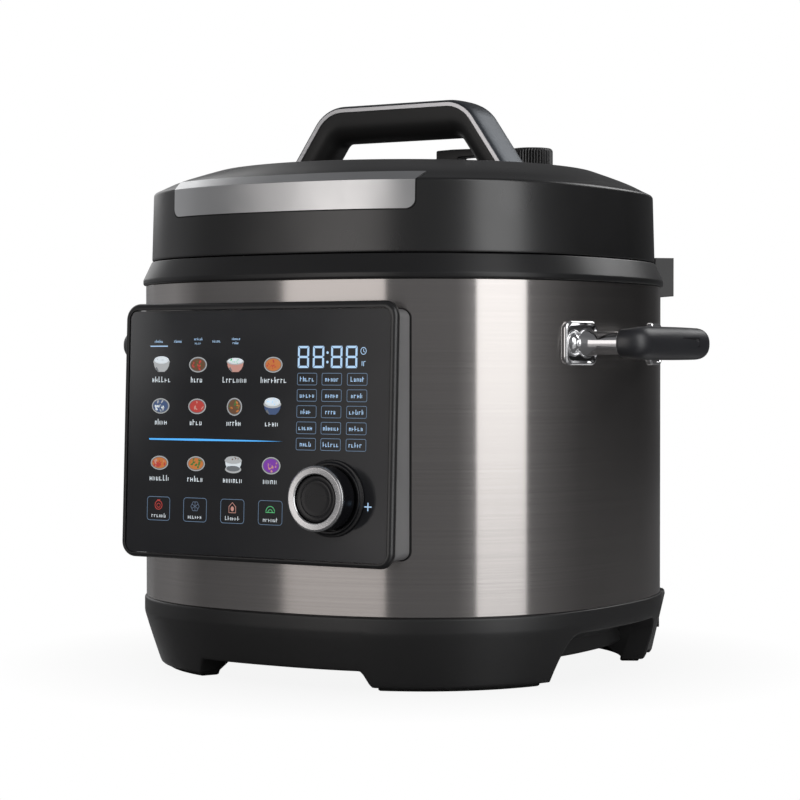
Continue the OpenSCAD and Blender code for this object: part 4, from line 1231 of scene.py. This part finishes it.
dressed = {
    base_plastic: {"lid_rests": 0.8, "cup_rails": 0.6},
    lid_plastic: {"lid_underplate": 0.3, "lever_bracket": 0.4},
    black_and_painted_gap_shadow: {"inlet_socket": 0.3},
    brass: {"inlet_pins": 0.2},
    plain_metal: {"bottom_plate": 0.2, "base_screws": 0.2, "handle_screws": 0.2, "lever_pin": 0.2,
                  "probe_bracket": 0.2, "plate_standoffs": 0.2, "pressure_switch": 0.3, "valve_stem": 0.2,
                  "steam_filter": 0.2, "temperature_probe": 0.3, "rotary_encoder": 0.2, "encoder_shaft": 0.2,
                  "heater_element": 0, "probe_spring": 0, "float_valve": 0.4},
    pot_steel: {"outer_pot": 0.2, "inner_pot": 0.2, "pressure_lid": 0.2, "locking_flange": 0.3,
                "seal_rack": 0.1},
    cast_aluminium: {"heating_plate": 0.5},
    silicone: {"sealing_ring": 0.3},
    smoked_plastic: {"condensate_cup": 0.5},
    felt: {"insulation_sleeve": 0.4},
    board_green: {"power_board": 0.1, "control_board": 0.1, "display_module": 0.2},
    slip_white: {"lid_slip_ring": 0.2},
}
for material, nodes in dressed.items():
    for node, bevel in nodes.items():
        dress(node, material, bevel)
left_over = [n for n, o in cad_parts.items() if not o.hide_render and
             not any(n in nodes for nodes in dressed.values())]
print("dressed:", sum(len(nodes) for nodes in dressed.values()), "left over:", left_over)

# %% [markdown]
# ## Studio
#
# Dark metal shows its room more than itself, so the studio is drawn for the reflections. The walls
# have a brightness for each bearing, set on a colour ramp, under a darker ceiling. A ramp is quicker
# to tune than many cards, and it lights the object softly. Only the camera sees plain white.

# %% Room
scene = bpy.context.scene
scene.view_settings.view_transform = "Standard"
world = bpy.data.worlds.new("studio")
scene.world = world
world.use_nodes = True
nodes, links = world.node_tree.nodes, world.node_tree.links
nodes.clear()
path = nodes.new("ShaderNodeLightPath")
backdrop = nodes.new("ShaderNodeBackground")
backdrop.inputs["Color"].default_value = (1, 1, 1, 1)
backdrop.inputs["Strength"].default_value = 1.0
room = nodes.new("ShaderNodeBackground")
where = nodes.new("ShaderNodeTexCoord")
split = nodes.new("ShaderNodeSeparateXYZ")
links.new(where.outputs["Generated"], split.inputs["Vector"])
forward = nodes.new("ShaderNodeMath")
forward.operation = "MULTIPLY"
forward.inputs[1].default_value = -1.0
links.new(split.outputs["Y"], forward.inputs[0])
bearing = nodes.new("ShaderNodeMath")
bearing.operation = "ARCTAN2"
links.new(split.outputs["X"], bearing.inputs[0])
links.new(forward.outputs["Value"], bearing.inputs[1])
turn = nodes.new("ShaderNodeMapRange")
turn.inputs["From Min"].default_value = -math.pi
turn.inputs["From Max"].default_value = math.pi
links.new(bearing.outputs["Value"], turn.inputs["Value"])
walls = nodes.new("ShaderNodeValToRGB")
links.new(turn.outputs["Result"], walls.inputs["Fac"])
wall_light = [(-180, 0.05), (-110, 0.28), (-80, 0.36), (-60, 0.15), (-40, 0.18), (12, 0.19), (50, 0.20),
              (58, 0.34), (96, 0.26), (112, 0.15), (130, 0.06), (145, 0.03), (160, 0.02), (180, 0.05)]
stops = walls.color_ramp.elements
for degrees, light in wall_light[1:-1]:
    stops.new(degrees / 360 + 0.5)
for stop, (degrees, light) in zip(stops, wall_light):
    stop.position = degrees / 360 + 0.5
    stop.color = (light, light, light * 1.02, 1)
ceiling = nodes.new("ShaderNodeMapRange")
ceiling.inputs["From Min"].default_value = 0.45
ceiling.inputs["From Max"].default_value = 0.85
links.new(split.outputs["Z"], ceiling.inputs["Value"])
wall_or_ceiling = nodes.new("ShaderNodeMix")
wall_or_ceiling.data_type = "RGBA"
ends = [socket for socket in wall_or_ceiling.inputs if socket.type == "RGBA"]
ends[1].default_value = (0.13, 0.13, 0.135, 1)
links.new(walls.outputs["Color"], ends[0])
links.new(ceiling.outputs["Result"], wall_or_ceiling.inputs[0])
links.new([socket for socket in wall_or_ceiling.outputs if socket.type == "RGBA"][0], room.inputs["Color"])
room.inputs["Strength"].default_value = 1.0
chosen = nodes.new("ShaderNodeMixShader")
links.new(path.outputs["Is Camera Ray"], chosen.inputs[0])
links.new(room.outputs["Background"], chosen.inputs[1])
links.new(backdrop.outputs["Background"], chosen.inputs[2])
output = nodes.new("ShaderNodeOutputWorld")
links.new(chosen.outputs["Shader"], output.inputs["Surface"])
print("wall brightness set at", len(stops), "bearings")

# %% [markdown]
# One tall soft light at the far right makes the bright band on the steel, a broad warm one in front
# fills the front, and two behind draw the edges. The small one is linked to the glass alone: it makes
# the sheen across the panel, and would leave a stripe on the steel.

# %% Lights
LOOK_AT = Vector((0, 0, 0.15))


def softbox(name, bearing, elevation, distance, wide, tall, radiance, colour=(1, 1, 1)):
    """A rectangular light at a bearing from the front, in degrees towards the right."""
    a, e = math.radians(bearing), math.radians(elevation)
    out = Vector((math.sin(a) * math.cos(e), -math.cos(a) * math.cos(e), math.sin(e)))
    data = bpy.data.lights.new(name, "AREA")
    data.shape = "RECTANGLE"
    data.size, data.size_y = wide, tall
    data.color = colour
    data.energy = radiance * math.pi * wide * tall
    light = bpy.data.objects.new(name, data)
    light.location = LOOK_AT + out * distance
    light.rotation_euler = (-out).to_track_quat("-Z", "Y").to_euler()
    scene.collection.objects.link(light)
    return light


softbox("tall_right", 76, 6, 2.2, 1.22, 4.0, 1.80)
softbox("warm_front", -9.5, -2, 2.4, 1.78, 2.8, 1.0, (1.0, 0.955, 0.93))
sheen = softbox("glass_sheen", -41, 6.6, 2.4, 0.30, 0.30, 4.6)
softbox("back_right", 160, 32, 2.2, 1.2, 0.8, 2.4)
softbox("back_left", -120, 25, 2.2, 1.0, 1.4, 1.0)
glass_only = bpy.data.collections.new("glass_only")
glass_only.objects.link(bpy.data.objects["panel_glass_sheet"])
sheen.light_linking.receiver_collection = glass_only
print("lights:", len(bpy.data.lights))

# %% [markdown]
# The floor is a wide dark glossy disc, so the steel mirrors little of it. Where the camera looks at it
# directly it fades to plain white away from the object, which leaves only a soft contact shadow.

# %% Floor
bm = bmesh.new()
bmesh.ops.create_circle(bm, cap_ends=True, segments=128, radius=6)
mesh = bpy.data.meshes.new("floor")
bm.to_mesh(mesh)
bm.free()
floor = bpy.data.objects.new("floor", mesh)
scene.collection.objects.link(floor)
pale = finish("pale_floor", (0.26, 0.26, 0.262), 0.22, Specular_IOR_Level=1.0, IOR=1.8)
bump(pale, noise(pale, 300), 0.02)
nodes, links = pale.node_tree.nodes, pale.node_tree.links
where = nodes.new("ShaderNodeTexCoord")
distance = nodes.new("ShaderNodeVectorMath")
distance.operation = "LENGTH"
links.new(where.outputs["Object"], distance.inputs[0])
white = nodes.new("ShaderNodeEmission")
white.inputs["Strength"].default_value = 1.0
blend = nodes.new("ShaderNodeMixShader")
near, far = 0.13, 0.26   # metres from the middle between which the floor turns white
fade = ramp(pale, distance.outputs["Value"], 0.90, 1.0, near, far)
seen = nodes.new("ShaderNodeLightPath")
only_seen = nodes.new("ShaderNodeMath")
only_seen.operation = "MULTIPLY"
links.new(fade, only_seen.inputs[0])
links.new(seen.outputs["Is Camera Ray"], only_seen.inputs[1])
links.new(only_seen.outputs["Value"], blend.inputs[0])
links.new(nodes["Principled BSDF"].outputs["BSDF"], blend.inputs[1])
links.new(white.outputs["Emission"], blend.inputs[2])
links.new(blend.outputs["Shader"], nodes["Material Output"].inputs["Surface"])
mesh.materials.append(pale)
print("floor radius", round(max(v.co.x for v in mesh.vertices), 2))
